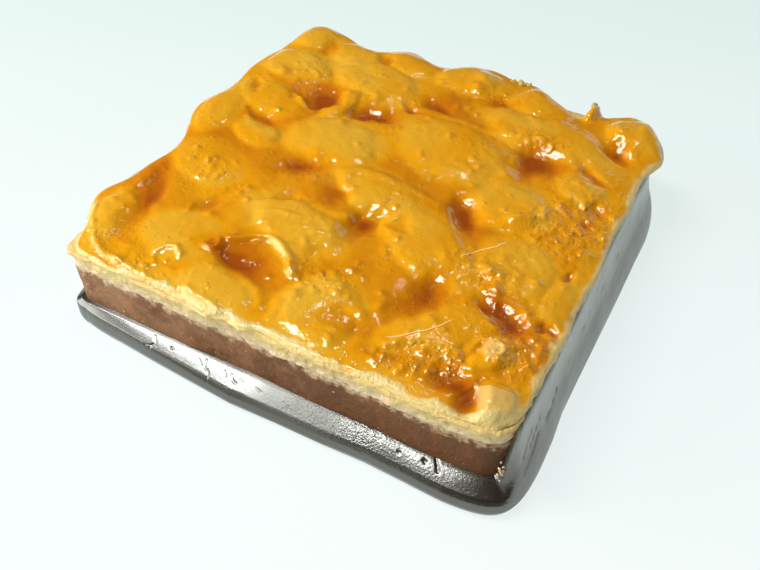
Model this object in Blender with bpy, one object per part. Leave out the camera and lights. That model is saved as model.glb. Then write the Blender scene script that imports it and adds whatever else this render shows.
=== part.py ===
"""Square chocolate florentine: a biscuit slab set in a chocolate foot, under glazed almonds."""

import math

import bmesh
import bpy
import numpy as np

MM = 0.001

# Levels above the table, in millimetres
BED_TOP = 3.8
LIP_TOP = 4.55
FOOT_WIDEST = 1.6
GAP = 0.3
BISCUIT_TOP = 12.0
CREAM_TOP = 14.5
GLAZE_UNDERSIDE = CREAM_TOP + GAP
GLAZE_BED = 14.9

# Plan sizes, in millimetres
BLOCK_LEFT = -35.9
BLOCK_RIGHT = 34.6
BLOCK_HALF_DEPTH = 34.0
BLOCK_CORNER_POWER = 18
BLOCK_SHARP_CORNER = 26
FOOT_CORNER_POWER = 9
FOOT_LEFT_CORNER = 5
FOOT_RIGHT_CORNER = 2
CLIMB_TOP = 14.1
CLIMB_CORNER = 0.92
CLIMB_FRONT_STARTS = -1.0
CLIMB_FRONT_FULL = -0.85
CLIMB_BACK_STARTS = 0.4
CLIMB_BACK_FALL = 0.35
SIDE_WANDER = 0.35
CREAM_INSET = 0.3
GLAZE_CENTRE = -0.25
GLAZE_HALF_WIDTH = 34.95
GLAZE_HALF_DEPTH = 33.6
GLAZE_CORNER_POWER = 15
GLAZE_SHARP_CORNER = 10
SHOULDER = 3.6
SHOULDER_LEVEL = 15.4
RIM_BULGE = 0.35
DROOP = 2.0
DROOP_STARTS = 0.8
DROOP_FULL = 3.5
RIM_TUCK = 0.5
RIM_CLEARANCE = 0.4

# Mesh fineness
OUTLINE_POINTS = 128
GLAZE_CELLS = 54
EDGE_CROWDING = 0.72
EDGE_WANDER = 0.9

# Widest outline of the foot: place along each side and how far out it stands, in millimetres
FOOT_FRONT = (
    (-38.0, 36.7),
    (-34.0, 35.9),
    (-27.0, 36.2),
    (-20.0, 36.8),
    (-13.0, 37.3),
    (-6.0, 37.8),
    (1.5, 37.5),
    (9.0, 37.4),
    (16.0, 37.1),
    (22.0, 37.3),
    (28.0, 37.7),
    (38.0, 37.7),
)
FOOT_RIGHT = (
    (-38.0, 38.2),
    (-28.0, 38.1),
    (-22.0, 37.9),
    (-17.0, 37.5),
    (-10.0, 37.6),
    (-1.5, 37.8),
    (8.0, 38.0),
    (18.0, 38.1),
    (24.0, 38.3),
    (30.0, 38.1),
    (38.0, 37.8),
)
FOOT_BACK = (
    (-38.0, 37.2),
    (-15.0, 37.5),
    (10.0, 37.1),
    (38.0, 37.4),
)
FOOT_LEFT = (
    (-38.0, 38.3),
    (-24.0, 38.7),
    (-5.0, 38.9),
    (15.0, 38.5),
    (38.0, 38.6),
)

# Lobes of the topping's edge: place along the side, reach, half width, in millimetres
LEFT_LOBES = (
    (-22.0, 3.9, 5.5),
    (-13.0, 1.3, 4.0),
    (4.5, 4.1, 7.0),
    (19.0, 2.5, 7.0),
    (33.5, 1.3, 4.0),
)
BACK_LOBES = (
    (-32.0, 3.8, 4.0),
    (-26.5, 1.9, 3.5),
    (-13.5, 3.4, 4.5),
    (2.0, 5.1, 7.5),
    (11.5, 2.8, 4.0),
    (20.6, -1.6, 2.2),
    (22.6, 3.2, 1.1),
    (29.5, 3.4, 4.0),
)
RIGHT_LOBES = (
    (27.5, 1.7, 4.5),
    (14.0, 0.5, 4.0),
    (-2.0, 0.5, 5.0),
    (-16.0, 0.4, 4.0),
)
FRONT_LOBES = (
    (-10.0, 0.9, 3.0),
    (-4.5, 0.8, 1.6),
    (6.0, 0.4, 4.0),
    (-26.0, 0.4, 4.0),
    (22.0, 0.3, 3.0),
)

# Almond flakes: x, y, half length, half width (mm), turn (degrees), lift (mm)
FLAKES = (
    (-33.5, -25.0, 5.6, 4.2, -62, 1.30),
    (-20.5, -24.2, 8.6, 5.6, -8, 1.40),
    (-10.5, -31.0, 6.3, 4.9, 0, 1.40),
    (-7.7, -14.2, 8.8, 5.6, -12, 1.75),
    (-28.0, -8.0, 7.5, 5.0, -15, 1.25),
    (-35.0, 4.5, 4.2, 7.5, 5, 1.45),
    (-25.5, 2.2, 5.0, 3.4, -8, 1.50),
    (4.1, -27.2, 6.6, 6.2, 0, 1.60),
    (19.0, -23.0, 9.0, 3.6, 38, 1.35),
    (11.5, -8.5, 10.5, 5.4, -28, 1.60),
    (25.0, -6.5, 7.0, 5.2, -20, 1.35),
    (27.8, -23.2, 3.9, 2.2, 58, 1.75),
    (31.1, -30.2, 4.4, 3.3, 78, 1.90),
    (32.5, -10.5, 2.6, 5.5, 0, 1.20),
    (17.5, 23.8, 11.5, 4.8, -2, 1.85),
    (5.0, 13.5, 10.5, 7.4, -6, 1.65),
    (19.5, 4.5, 7.0, 6.0, 10, 1.50),
    (27.0, 13.5, 5.2, 3.6, -20, 1.45),
    (31.5, 31.0, 5.4, 5.2, 20, 2.30),
    (22.2, 34.6, 3.4, 1.1, 75, 2.40),
    (13.5, 32.0, 6.0, 4.8, -5, 1.70),
    (-0.5, 33.0, 6.4, 5.0, 0, 1.80),
    (-12.0, 32.5, 6.2, 4.4, 0, 1.60),
    (-32.5, 32.5, 5.4, 4.8, 15, 1.80),
    (-22.5, 30.5, 6.6, 4.2, -10, 1.50),
    (-14.5, 24.6, 8.8, 5.2, -8, 1.60),
    (-30.0, 22.5, 7.4, 4.6, 10, 1.55),
    (-16.7, 15.0, 2.8, 5.4, -8, 1.70),
    (-29.0, 12.0, 8.0, 4.4, -6, 1.40),
    (-12.5, 6.0, 9.2, 6.0, 8, 1.70),
    (-1.5, -1.5, 9.0, 4.6, -18, 1.60),
)

# Pits between the flakes: x, y, half length, half width (mm), turn (degrees), depth (mm)
PITS = (
    (-21.1, 15.2, 3.6, 2.8, -75, 2.0),
    (-11.1, 15.8, 3.6, 1.8, 32, 1.7),
    (18.4, 16.2, 3.7, 3.9, 0, 1.3),
    (13.7, 0.3, 3.6, 2.2, -50, 1.6),
    (1.4, -8.6, 2.5, 3.4, -10, 1.9),
    (-14.4, -2.6, 3.1, 2.0, 48, 1.2),
    (-10.1, -24.6, 5.6, 1.9, -4, 1.9),
    (27.1, -16.6, 3.7, 2.2, -32, 1.6),
    (30.1, 26.0, 2.2, 1.7, -25, 1.6),
    (28.1, -31.0, 1.6, 2.8, -12, 1.5),
    (23.7, -29.2, 2.8, 2.2, 0, 0.8),
    (15.1, -17.6, 5.2, 2.2, 68, 0.8),
    (-31.5, -19.5, 1.8, 8.0, 12, 0.8),
)

# Levels of the flake and glaze surfaces above the glaze's bed, in millimetres
GLAZE_LEVEL = 1.2
GLAZE_RIPPLE = 0.16
FLAKE_DOME = 0.45
FLAKE_CROWN = 0.25
FLAKE_DROP = 1.6
FLAKE_EDGE_STARTS = 0.66
FLAKE_EDGE_ENDS = 1.4
FLAKE_FLOOR = -0.6
FLAKE_BLEND = 0.14
SURFACE_BLEND = 0.26
PIT_SHARE = 0.9
PIT_WALL = 0.9
PIT_FLOOR = 0.2
PIT_FLOOR_BLEND = 0.12
BROAD_DRIFT = 0.9
FINE_DRIFT = 0.35
SMOOTH_ANGLE = 40.0


def clear_scene():
    """Take every object out of the scene."""
    for item in list(bpy.data.objects):
        bpy.data.objects.remove(item, do_unlink=True)


def food_material(name, colour, roughness, coat=0.0):
    """Make a plain coloured material."""
    material = bpy.data.materials.new(name)
    material.use_nodes = True
    surface = material.node_tree.nodes["Principled BSDF"]
    surface.inputs["Base Color"].default_value = (*colour, 1.0)
    surface.inputs["Roughness"].default_value = roughness
    surface.inputs["Coat Weight"].default_value = coat
    material.diffuse_color = (*colour, 1.0)
    return material


def ripple(x, y, scale):
    """Slow uneven wave over the plan, about -1 to 1."""
    across = np.sin(x * 0.31 * scale + 1.7 + 0.8 * np.sin(y * 0.23 * scale))
    along = np.sin(y * 0.27 * scale - 0.9 + 0.9 * np.sin(x * 0.21 * scale + 2.0))
    slant = 0.6 * np.sin((x + y) * 0.43 * scale + 0.4)
    return (across + along + slant) / 2.6


def ease(start, end, value):
    """Rise smoothly from 0 to 1 as the value goes from start to end."""
    part = np.clip((value - start) / (end - start), 0.0, 1.0)
    return part * part * (3.0 - 2.0 * part)


def oval_distance(x, y, centre_x, centre_y, half_length, half_width, turn):
    """Distance from an oval's centre, 1 on its outline."""
    cosine = math.cos(math.radians(turn))
    sine = math.sin(math.radians(turn))
    along = ((x - centre_x) * cosine + (y - centre_y) * sine) / half_length
    across = ((y - centre_y) * cosine - (x - centre_x) * sine) / half_width
    return np.hypot(along, across)


def topping_level(x, y):
    """Height of the almond topping's upper surface over the plan."""
    moved_x = x + BROAD_DRIFT * ripple(x, y, 1.3) + FINE_DRIFT * ripple(y, x, 3.1)
    moved_y = y + BROAD_DRIFT * ripple(y + 9, x - 4, 1.3) + FINE_DRIFT * ripple(x + 5, y + 3, 2.9)
    heaped = np.exp(np.full_like(x, FLAKE_FLOOR / FLAKE_BLEND))
    for centre_x, centre_y, half_length, half_width, turn, lift in FLAKES:
        reach = oval_distance(moved_x, moved_y, centre_x, centre_y, half_length, half_width, turn)
        edge = FLAKE_DROP * ease(FLAKE_EDGE_STARTS, FLAKE_EDGE_ENDS, reach)
        flake = lift + FLAKE_CROWN - FLAKE_DOME * reach ** 2 - edge
        heaped += np.exp(np.maximum(flake, FLAKE_FLOOR) / FLAKE_BLEND)
    flakes = FLAKE_BLEND * np.log(heaped)
    glaze = GLAZE_LEVEL + GLAZE_RIPPLE * ripple(x + 3, y - 7, 1.4)
    surface = SURFACE_BLEND * np.log(np.exp(flakes / SURFACE_BLEND) + np.exp(glaze / SURFACE_BLEND))
    sunk = np.zeros_like(x)
    for centre_x, centre_y, half_length, half_width, turn, depth in PITS:
        reach = oval_distance(moved_x, moved_y, centre_x, centre_y, half_length, half_width, turn)
        sunk = np.maximum(sunk, depth * np.exp(-PIT_WALL * reach ** 3))
    above_floor = surface - PIT_SHARE * sunk - PIT_FLOOR
    return GLAZE_BED + PIT_FLOOR + PIT_FLOOR_BLEND * np.logaddexp(0.0, above_floor / PIT_FLOOR_BLEND)


def lobe_reach(place, lobes):
    """How far the topping's edge stands out at a place along one side."""
    reach = np.zeros_like(place)
    for centre, size, half_width in lobes:
        reach += size * np.exp(-((place - centre) / half_width) ** 2)
    return reach


def squared(s, t, half_width, half_depth, power):
    """Map the unit square to a rectangle with rounded corners."""
    ring = np.maximum(np.abs(s), np.abs(t))
    blend = (np.abs(s) ** power + np.abs(t) ** power) ** (1.0 / power)
    keep = np.where(blend > 0, ring / np.maximum(blend, 1e-9), 1.0)
    return half_width * s * keep, half_depth * t * keep


def square_ring(count):
    """Points around the unit square, counter-clockwise from the front left corner."""
    side = count // 4
    steps = np.arange(side) * 2.0 / side - 1.0
    edge = np.full(side, 1.0)
    s = np.concatenate([steps, edge, -steps, -edge])
    t = np.concatenate([-edge, steps, edge, -steps])
    return s, t


def block_outline(s, t, inset=0.0):
    """Outline of the biscuit block, drawn in by an inset, sharpest at its front left corner."""
    power = BLOCK_CORNER_POWER + BLOCK_SHARP_CORNER * ease(0.5, 1.0, -s) * ease(0.5, 1.0, -t)
    half_width = (BLOCK_RIGHT - BLOCK_LEFT) / 2 - inset
    x, y = squared(s, t, half_width, BLOCK_HALF_DEPTH - inset, power)
    return x + (BLOCK_LEFT + BLOCK_RIGHT) / 2, y


def side_reach(place, table):
    """How far out one side of the foot stands at a place along it."""
    return np.interp(place, [row[0] for row in table], [row[1] for row in table])


def foot_outline(s, t, reach):
    """Outline of the foot, from 0 at its opening round the block to 1 at its widest."""
    inner_x, inner_y = block_outline(s, t, -GAP)
    sharper = FOOT_LEFT_CORNER * ease(0.5, 1.0, -s) + FOOT_RIGHT_CORNER * ease(0.5, 1.0, s)
    power = FOOT_CORNER_POWER + sharper * ease(0.5, 1.0, -t)
    u, v = squared(s, t, 1.0, 1.0, power)
    side = np.where(u > 0, side_reach(38 * v, FOOT_RIGHT), side_reach(38 * v, FOOT_LEFT))
    end = np.where(v > 0, side_reach(38 * u, FOOT_BACK), side_reach(38 * u, FOOT_FRONT))
    return inner_x + (u * side - inner_x) * reach, inner_y + (v * end - inner_y) * reach


def crowded(u):
    """Draw evenly spaced values together towards both ends."""
    angle = EDGE_CROWDING * math.pi / 2
    return np.sin(angle * u) / math.sin(angle)


def skin(name, rings, material):
    """Close a stack of equal rings into a solid, from the underside upwards."""
    mesh = bmesh.new()
    loops = []
    for ring in rings:
        loops.append([mesh.verts.new((x * MM, y * MM, z * MM)) for x, y, z in ring])
    for lower, upper in zip(loops, loops[1:]):
        for index in range(len(lower)):
            following = (index + 1) % len(lower)
            mesh.faces.new((lower[index], lower[following], upper[following], upper[index]))
    mesh.faces.new(list(reversed(loops[0])))
    mesh.faces.new(loops[-1])
    return finish_solid(name, mesh, material)


def finish_solid(name, mesh, material):
    """Turn a closed mesh into a named object with its material."""
    bmesh.ops.triangulate(mesh, faces=mesh.faces[:])
    bmesh.ops.recalc_face_normals(mesh, faces=mesh.faces[:])
    data = bpy.data.meshes.new(name)
    mesh.to_mesh(data)
    mesh.free()
    data.shade_smooth()
    data.set_sharp_from_angle(angle=math.radians(SMOOTH_ANGLE))
    data.materials.append(material)
    solid = bpy.data.objects.new(name, data)
    bpy.context.collection.objects.link(solid)
    return solid


def ring_of(x, y, level, wobble=0.0, phase=0.0):
    """One ring of points, at one level or a level per point, with a wandering edge."""
    drift = 1.0 + wobble * ripple(x + phase, y - phase, EDGE_WANDER) / BLOCK_HALF_DEPTH
    levels = np.zeros_like(x) + level
    return list(zip(x * drift, y * drift, levels))


def side_climb(s, t):
    """Where the chocolate runs up the right side: 0 on the plain ledge, 1 at full height."""
    front_end = ease(CLIMB_FRONT_STARTS, CLIMB_FRONT_FULL, t)
    back_end = 1.0 - CLIMB_BACK_FALL * ease(CLIMB_BACK_STARTS, 1.0, t)
    return ease(CLIMB_CORNER, 1.0, s) * front_end * back_end


def chocolate_foot():
    """Poured chocolate foot: rounded edge, sloping ledge and a flat bed, run up the right side."""
    material = food_material("chocolate", (0.035, 0.018, 0.010), 0.2, 1.0)
    # Reach from the opening to the widest outline, level and level on the right side (mm)
    profile = (
        (0.62, 0.0, 0.0),
        (0.89, 0.5, 0.5),
        (1.0, FOOT_WIDEST, FOOT_WIDEST),
        (0.90, 2.8, 2.9),
        (0.72, 3.5, 4.6),
        (0.45, 3.97, 7.2),
        (0.24, 4.25, 10.5),
        (0.12, 4.42, CLIMB_TOP),
        (0.0, LIP_TOP, CLIMB_TOP - 0.1),
        (0.0, BED_TOP, BED_TOP),
    )
    s, t = square_ring(OUTLINE_POINTS)
    climb = side_climb(s, t)
    rings = []
    for reach, level, right_level in profile:
        x, y = foot_outline(s, t, reach)
        rings.append(ring_of(x, y, level + (right_level - level) * climb))
    return skin("chocolate_base", rings, material)


def biscuit_slab():
    """Baked biscuit slab with a slightly crumbly side."""
    material = food_material("biscuit", (0.30, 0.16, 0.075), 0.85)
    bottom = BED_TOP + GAP
    height = BISCUIT_TOP - bottom
    # Inset of the side, share of the height, edge wander (mm) and shift of its pattern
    profile = (
        (0.6, 0.0, 0.0, 0.0),
        (0.15, 0.11, 0.0, 0.0),
        (0.2, 0.35, SIDE_WANDER, 10.0),
        (0.2, 0.60, SIDE_WANDER, 18.0),
        (0.2, 0.85, SIDE_WANDER, 25.0),
        (0.5, 1.0, SIDE_WANDER / 2, 0.0),
    )
    s, t = square_ring(OUTLINE_POINTS)
    rings = []
    for inset, share, wander, shift in profile:
        x, y = block_outline(s, t, inset)
        rings.append(ring_of(x, y, bottom + height * share, wander, shift))
    return skin("biscuit", rings, material)


def cream_layer():
    """Pale almond layer between the biscuit and the glazed flakes."""
    material = food_material("almond_cream", (0.78, 0.60, 0.30), 0.7)
    bottom = BISCUIT_TOP + GAP
    middle = (bottom + CREAM_TOP) / 2
    # Inset of the side, level, edge wander (mm) and shift of its pattern
    profile = (
        (CREAM_INSET + 0.4, bottom, SIDE_WANDER / 2, 5.0),
        (CREAM_INSET, middle, SIDE_WANDER, 11.0),
        (CREAM_INSET + 0.3, CREAM_TOP, SIDE_WANDER / 2, 17.0),
    )
    s, t = square_ring(OUTLINE_POINTS)
    rings = []
    for inset, level, wander, shift in profile:
        x, y = block_outline(s, t, inset)
        rings.append(ring_of(x, y, level, wander, shift))
    return skin("almond_layer", rings, material)


def lobed(s, t):
    """Map the unit square to the topping's lobed outline."""
    power = GLAZE_CORNER_POWER + GLAZE_SHARP_CORNER * ease(0.5, 1.0, -s) * ease(0.5, 1.0, -t)
    x, y = squared(s, t, GLAZE_HALF_WIDTH, GLAZE_HALF_DEPTH, power)
    x = x + GLAZE_CENTRE
    left = lobe_reach(y, LEFT_LOBES) * ease(0.55, 1.0, -s)
    right = lobe_reach(y, RIGHT_LOBES) * ease(0.55, 1.0, s)
    back = lobe_reach(x, BACK_LOBES) * ease(0.55, 1.0, t)
    front = lobe_reach(x, FRONT_LOBES) * ease(0.55, 1.0, -t)
    return x + right - left, y + back - front


def rim_rings(x, y, s, t, rim):
    """Rings that round the topping's rim, let it droop where it overhangs and tuck it in."""
    block_x, block_y = block_outline(s, t)
    overhang = np.maximum(s * (x - block_x), t * (y - block_y))
    spread = RIM_CLEARANCE + RIM_TUCK
    tuck = spread * ease(0.2, 1.4, overhang) - RIM_TUCK
    tucked_x, tucked_y = block_outline(s, t, -tuck)
    droop = DROOP * ease(DROOP_STARTS, DROOP_FULL, overhang)
    side = SHOULDER_LEVEL - GLAZE_UNDERSIDE
    # Share of the way in to the tucked outline, outward bulge and level
    stages = (
        (0.0, RIM_BULGE, SHOULDER_LEVEL - 0.5 * (side + droop)),
        (0.35, 0.0, GLAZE_UNDERSIDE - droop),
        (0.75, 0.0, GLAZE_UNDERSIDE - 0.8 * droop),
        (1.0, 0.0, np.full_like(x, GLAZE_UNDERSIDE)),
    )
    for share, bulge, level in stages:
        ring_x = x + bulge * s + (tucked_x - x) * share
        ring_y = y + bulge * t + (tucked_y - y) * share
        yield [(ring_x[i, j], ring_y[i, j], level[i, j]) for i, j in rim]


def almond_topping():
    """Glazed almond flakes: uneven domes and pits over a rounded, lobed edge."""
    material = food_material("almond_glaze", (0.72, 0.36, 0.045), 0.18, 1.0)
    cells = GLAZE_CELLS
    steps = crowded(np.linspace(-1.0, 1.0, cells + 1))
    s, t = np.meshgrid(steps, steps, indexing="ij")
    x, y = lobed(s, t)
    ring = np.maximum(np.abs(s), np.abs(t))
    inward = np.clip((1.0 - ring) * GLAZE_HALF_WIDTH / SHOULDER, 0.0, 1.0)
    rounding = np.sqrt(1.0 - (1.0 - inward) ** 2)
    z = SHOULDER_LEVEL + (topping_level(x, y) - SHOULDER_LEVEL) * rounding
    mesh = bmesh.new()
    grid = []
    for i in range(cells + 1):
        column = []
        for j in range(cells + 1):
            column.append(mesh.verts.new((x[i, j] * MM, y[i, j] * MM, z[i, j] * MM)))
        grid.append(column)
    for i in range(cells):
        for j in range(cells):
            mesh.faces.new((grid[i][j], grid[i + 1][j], grid[i + 1][j + 1], grid[i][j + 1]))
    rim = [(i, 0) for i in range(cells)]
    rim += [(cells, j) for j in range(cells)]
    rim += [(i, cells) for i in range(cells, 0, -1)]
    rim += [(0, j) for j in range(cells, 0, -1)]
    above = [grid[i][j] for i, j in rim]
    for ring in rim_rings(x, y, s, t, rim):
        below = [mesh.verts.new((px * MM, py * MM, pz * MM)) for px, py, pz in ring]
        for index in range(len(above)):
            following = (index + 1) % len(above)
            mesh.faces.new((above[following], above[index], below[index], below[following]))
        above = below
    mesh.faces.new(list(reversed(above)))
    return finish_solid("almond_topping", mesh, material)


def build():
    """Build the whole florentine."""
    clear_scene()
    chocolate_foot()
    biscuit_slab()
    cream_layer()
    almond_topping()


build()
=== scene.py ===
"""Looks of a square chocolate florentine: glazed almonds on a biscuit slab in a chocolate foot."""

import math

import bpy
import numpy as np
from bpy.props import FloatProperty, FloatVectorProperty, IntProperty, PointerProperty
from mathutils import Matrix, Quaternion, Vector


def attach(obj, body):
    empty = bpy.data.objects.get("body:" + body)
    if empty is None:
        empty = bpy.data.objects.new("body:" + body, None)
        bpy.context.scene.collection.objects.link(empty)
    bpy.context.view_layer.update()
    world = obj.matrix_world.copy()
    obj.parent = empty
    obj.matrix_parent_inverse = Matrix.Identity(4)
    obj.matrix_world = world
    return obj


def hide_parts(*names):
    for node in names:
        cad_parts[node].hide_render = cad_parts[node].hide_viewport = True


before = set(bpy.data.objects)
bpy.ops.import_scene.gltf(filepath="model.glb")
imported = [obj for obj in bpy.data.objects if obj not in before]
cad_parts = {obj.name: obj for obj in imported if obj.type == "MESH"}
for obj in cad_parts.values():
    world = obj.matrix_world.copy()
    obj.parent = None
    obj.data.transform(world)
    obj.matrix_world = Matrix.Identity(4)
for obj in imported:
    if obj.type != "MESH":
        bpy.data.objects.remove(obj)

bl_info = {
    "name": "Chocolate Florentine",
    "version": (1, 0, 0),
    "blender": (4, 5, 0),
    "location": "View3D > Sidebar > Florentine",
    "description": "Builds the glazed topping, biscuit, chocolate foot and table of a florentine",
    "category": "Object",
}

MM = 0.001

# Levels above the table, in millimetres
BED_TOP = 3.8
LIP_TOP = 4.55
FOOT_WIDEST = 1.6
GAP = 0.3
BISCUIT_TOP = 12.0
CREAM_TOP = 14.5
GLAZE_UNDERSIDE = CREAM_TOP + GAP
GLAZE_BED = 14.9

# Plan sizes, in millimetres
BLOCK_LEFT = -35.9
BLOCK_RIGHT = 34.6
BLOCK_HALF_DEPTH = 34.0
BLOCK_CORNER_POWER = 18
BLOCK_SHARP_CORNER = 26
FOOT_CORNER_POWER = 9
FOOT_LEFT_CORNER = 5
FOOT_RIGHT_CORNER = 2
CLIMB_TOP = 14.1
CLIMB_CORNER = 0.95
CLIMB_FRONT_STARTS = -1.0
CLIMB_FRONT_FULL = -0.88
CLIMB_BACK_STARTS = 0.4
CLIMB_BACK_FALL = 0.35
SIDE_WANDER = 0.35
GLAZE_CENTRE = -0.25
GLAZE_HALF_WIDTH = 34.95
GLAZE_HALF_DEPTH = 33.6
GLAZE_CORNER_POWER = 15
GLAZE_SHARP_CORNER = 10
SHOULDER = 3.6
SHOULDER_LEVEL = 15.4
RIM_BULGE = 0.35
DROOP = 2.0
DROOP_STARTS = 0.8
DROOP_FULL = 3.5
RIM_TUCK = 0.5
RIM_CLEARANCE = 0.4

# Fineness of the sides' wandering, of the topping's grid towards its edge and of its rim
EDGE_WANDER = 0.9
EDGE_CROWDING = 0.5
RIM_RINGS = 11

# Share of the way out at which the lobes of the topping's edge start
LOBES_START = 0.55

# Mean distance of the block's outline from its centre, and the end of the foot's tables below
MEAN_RADIUS = 43.0
FOOT_SPAN = 38

# Cells of each piece's grid: round or along it, and up its profile or round the thread
FOOT_GRID = (1120, 64)
BISCUIT_GRID = (800, 40)
CREAM_GRID = (900, 24)
THREAD_GRID = (60, 8)

# Share of a grid's columns passed at each of the block's corners; the foot's are finest in front
EVEN_CORNERS = (0.0, 0.25, 0.5, 0.75, 1.0)
FOOT_CORNERS = (0.0, 0.4, 0.65, 0.8, 1.0)

# The foot's skin: share of the way along its profile, reach from the opening round the block (0)
# to the widest outline (1), level, and level on the right side (mm). A reach below 0 is inside.
FOOT_PROFILE = (
    (0.0, -9.0, 0.0, 0.0),
    (0.04, 0.55, 0.0, 0.0),
    (0.08, 0.62, 0.0, 0.0),
    (0.18, 0.89, 0.5, 0.5),
    (0.32, 1.0, FOOT_WIDEST, FOOT_WIDEST),
    (0.45, 0.92, 2.8, 2.9),
    (0.54, 0.76, 3.52, 4.6),
    (0.66, 0.45, 3.99, 7.2),
    (0.74, 0.24, 4.29, 10.5),
    (0.80, 0.12, 4.44, CLIMB_TOP),
    (0.86, 0.0, LIP_TOP + 0.05, CLIMB_TOP + 0.5),
    (0.92, -0.3, LIP_TOP + 0.35, CLIMB_TOP + 0.9),
    (0.96, -0.3, BED_TOP + 0.1, BED_TOP + 0.1),
    (1.0, -9.0, BED_TOP, BED_TOP),
)
TURN_SPREAD = 0.018

# Inset for each unit of reach below 0, the most that counts, and the width of ledge that is
# too narrow to slope (mm)
INWARD_SCALE = 4.0
INWARD_LIMIT = 0.3
NARROW_LEDGE = 3.3

# Insets of the biscuit and the pale layer: share of the way along the profile and inset (mm)
BISCUIT_INSETS = (
    (0.0, 30.0), (0.1, 0.6), (0.16, 0.15), (0.5, 0.2), (0.84, 0.18), (0.9, 0.38), (1.0, 30.0),
)
CREAM_INSETS = (
    (0.0, 30.0), (0.1, 0.5), (0.2, 0.20), (0.5, 0.06), (0.8, -0.08), (0.9, 0.1), (0.95, 1.6),
    (1.0, 30.0),
)

# Rise of both: share of the way along the profile and share of the height
BISCUIT_RISE = ((0.0, 0.0), (0.1, 0.0), (0.9, 1.0), (1.0, 1.0))
CREAM_RISE = ((0.0, 0.0), (0.1, 0.0), (0.9, 1.0), (0.95, 0.8), (1.0, 0.8))
CREAM_HANGS = 0.5
CREAM_CLEARANCE = 0.10

# Stretches of the profiles: where each starts, is full, fades and ends
FOOT_LEDGE = (0.36, 0.52, 0.88, 0.92)
FOOT_UPPER_SIDE = (0.34, 0.46, 0.88, 0.91)
BISCUIT_SIDE = (0.1, 0.2, 0.84, 0.92)
CREAM_SIDE = (0.1, 0.2, 0.84, 0.95)

# The topping's hanging rim: share of the way down it, and share of each amount there
RIM_TURNS_IN = ((0.0, 0.0), (0.35, 0.0), (0.6, 0.35), (0.85, 0.75), (1.0, 1.0))
RIM_SWELLS = ((0.0, 0.0), (0.15, 0.7), (0.35, 1.0), (0.6, 0.0))
RIM_DROOPS = ((0.0, 0.0), (0.35, 0.5), (0.6, 1.0), (0.85, 0.8), (1.0, 0.0))
RIM_SETTLES = ((0.0, 0.0), (0.35, 0.5), (0.6, 1.0))

# Random relief and drift: height, size (mm) and seed of each layer
LATTICE = 97
BISCUIT_RELIEF = ((0.25, 3.0, 11), (0.125, 1.0, 12))
CREAM_EDGE = ((0.25, 3.0, 21), (0.15, 0.9, 22))
CREAM_RELIEF = ((0.48, 2.2, 23), (0.44, 0.7, 24))
LEDGE_RELIEF = ((0.012, 2.4, 74),)
SIDE_RELIEF = ((0.10, 5.0, 75),)
SIDE_STREAKS = ((0.02, 1.4, 76),)
MARK_DRIFT = ((0.10, 0.5, 71),)
PIT_DRIFT = ((0.50, 2.6, 65), (0.22, 1.1, 66))
TONE_DRIFT = ((0.5, 3.2, 61), (0.25, 1.3, 62))
RIDGE_DRIFT = ((0.25, 2.2, 8),)
CHIP_DRIFT = ((0.12, 1.5, 31),)
BROAD_RELIEF = ((0.10, 4.4, 2), (0.06, 2.3, 3))
CLUSTERED_RELIEF = ((0.07, 0.85, 45),)
FINE_RELIEF = ((0.04, 1.2, 5), (0.012, 0.6, 6))
BEAD_RELIEF = ((0.09, 1.2, 5), (0.05, 0.6, 6))
POOL_RELIEF = ((0.08, 7.0, 41),)
RIM_LUMPS = ((0.14, 1.6, 53), (0.10, 0.7, 54))
RIM_RAGS = ((0.18, 3.0, 51), (0.10, 1.2, 52))

# More than any distance on the florentine
FAR = 1e6

# Widest outline of the foot: place along each side and how far out it stands, in millimetres
FOOT_FRONT = (
    (-38.0, 36.7), (-34.0, 35.9), (-27.0, 36.2), (-20.0, 36.8), (-13.0, 37.3), (-6.0, 37.8),
    (1.5, 37.5), (9.0, 37.4), (16.0, 37.1), (22.0, 37.3), (28.0, 37.7), (38.0, 37.7),
)
FOOT_RIGHT = (
    (-38.0, 38.2), (-28.0, 38.1), (-22.0, 37.9), (-17.0, 37.5), (-10.0, 37.6), (-1.5, 37.8),
    (8.0, 38.0), (18.0, 38.1), (24.0, 38.3), (30.0, 38.1), (38.0, 37.8),
)
FOOT_BACK = (
    (-38.0, 37.2), (-15.0, 37.5), (10.0, 37.1), (38.0, 37.4),
)
FOOT_LEFT = (
    (-38.0, 38.3), (-24.0, 38.7), (-5.0, 38.9), (15.0, 38.5), (38.0, 38.6),
)

# Lobes of the topping's edge: place along the side, reach, half width, in millimetres
LEFT_LOBES = (
    (-22.0, 3.9, 5.5), (-13.0, 1.3, 4.0), (4.5, 4.1, 7.0), (19.0, 2.5, 7.0), (33.5, 1.3, 4.0),
)
BACK_LOBES = (
    (-32.0, 3.8, 4.0), (-26.5, 1.9, 3.5), (-13.5, 3.4, 4.5), (2.0, 5.1, 7.5), (11.5, 2.8, 4.0),
    (20.6, -1.6, 2.2), (22.6, 3.2, 1.1), (29.5, 3.4, 4.0),
)
RIGHT_LOBES = (
    (27.5, 1.7, 4.5), (14.0, 0.5, 4.0), (-2.0, 0.5, 5.0), (-16.0, 0.4, 4.0),
)
FRONT_LOBES = (
    (-10.0, 0.9, 3.0), (-4.5, 0.8, 1.6), (6.0, 0.4, 4.0), (-26.0, 0.4, 4.0), (22.0, 0.3, 3.0),
)

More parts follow.
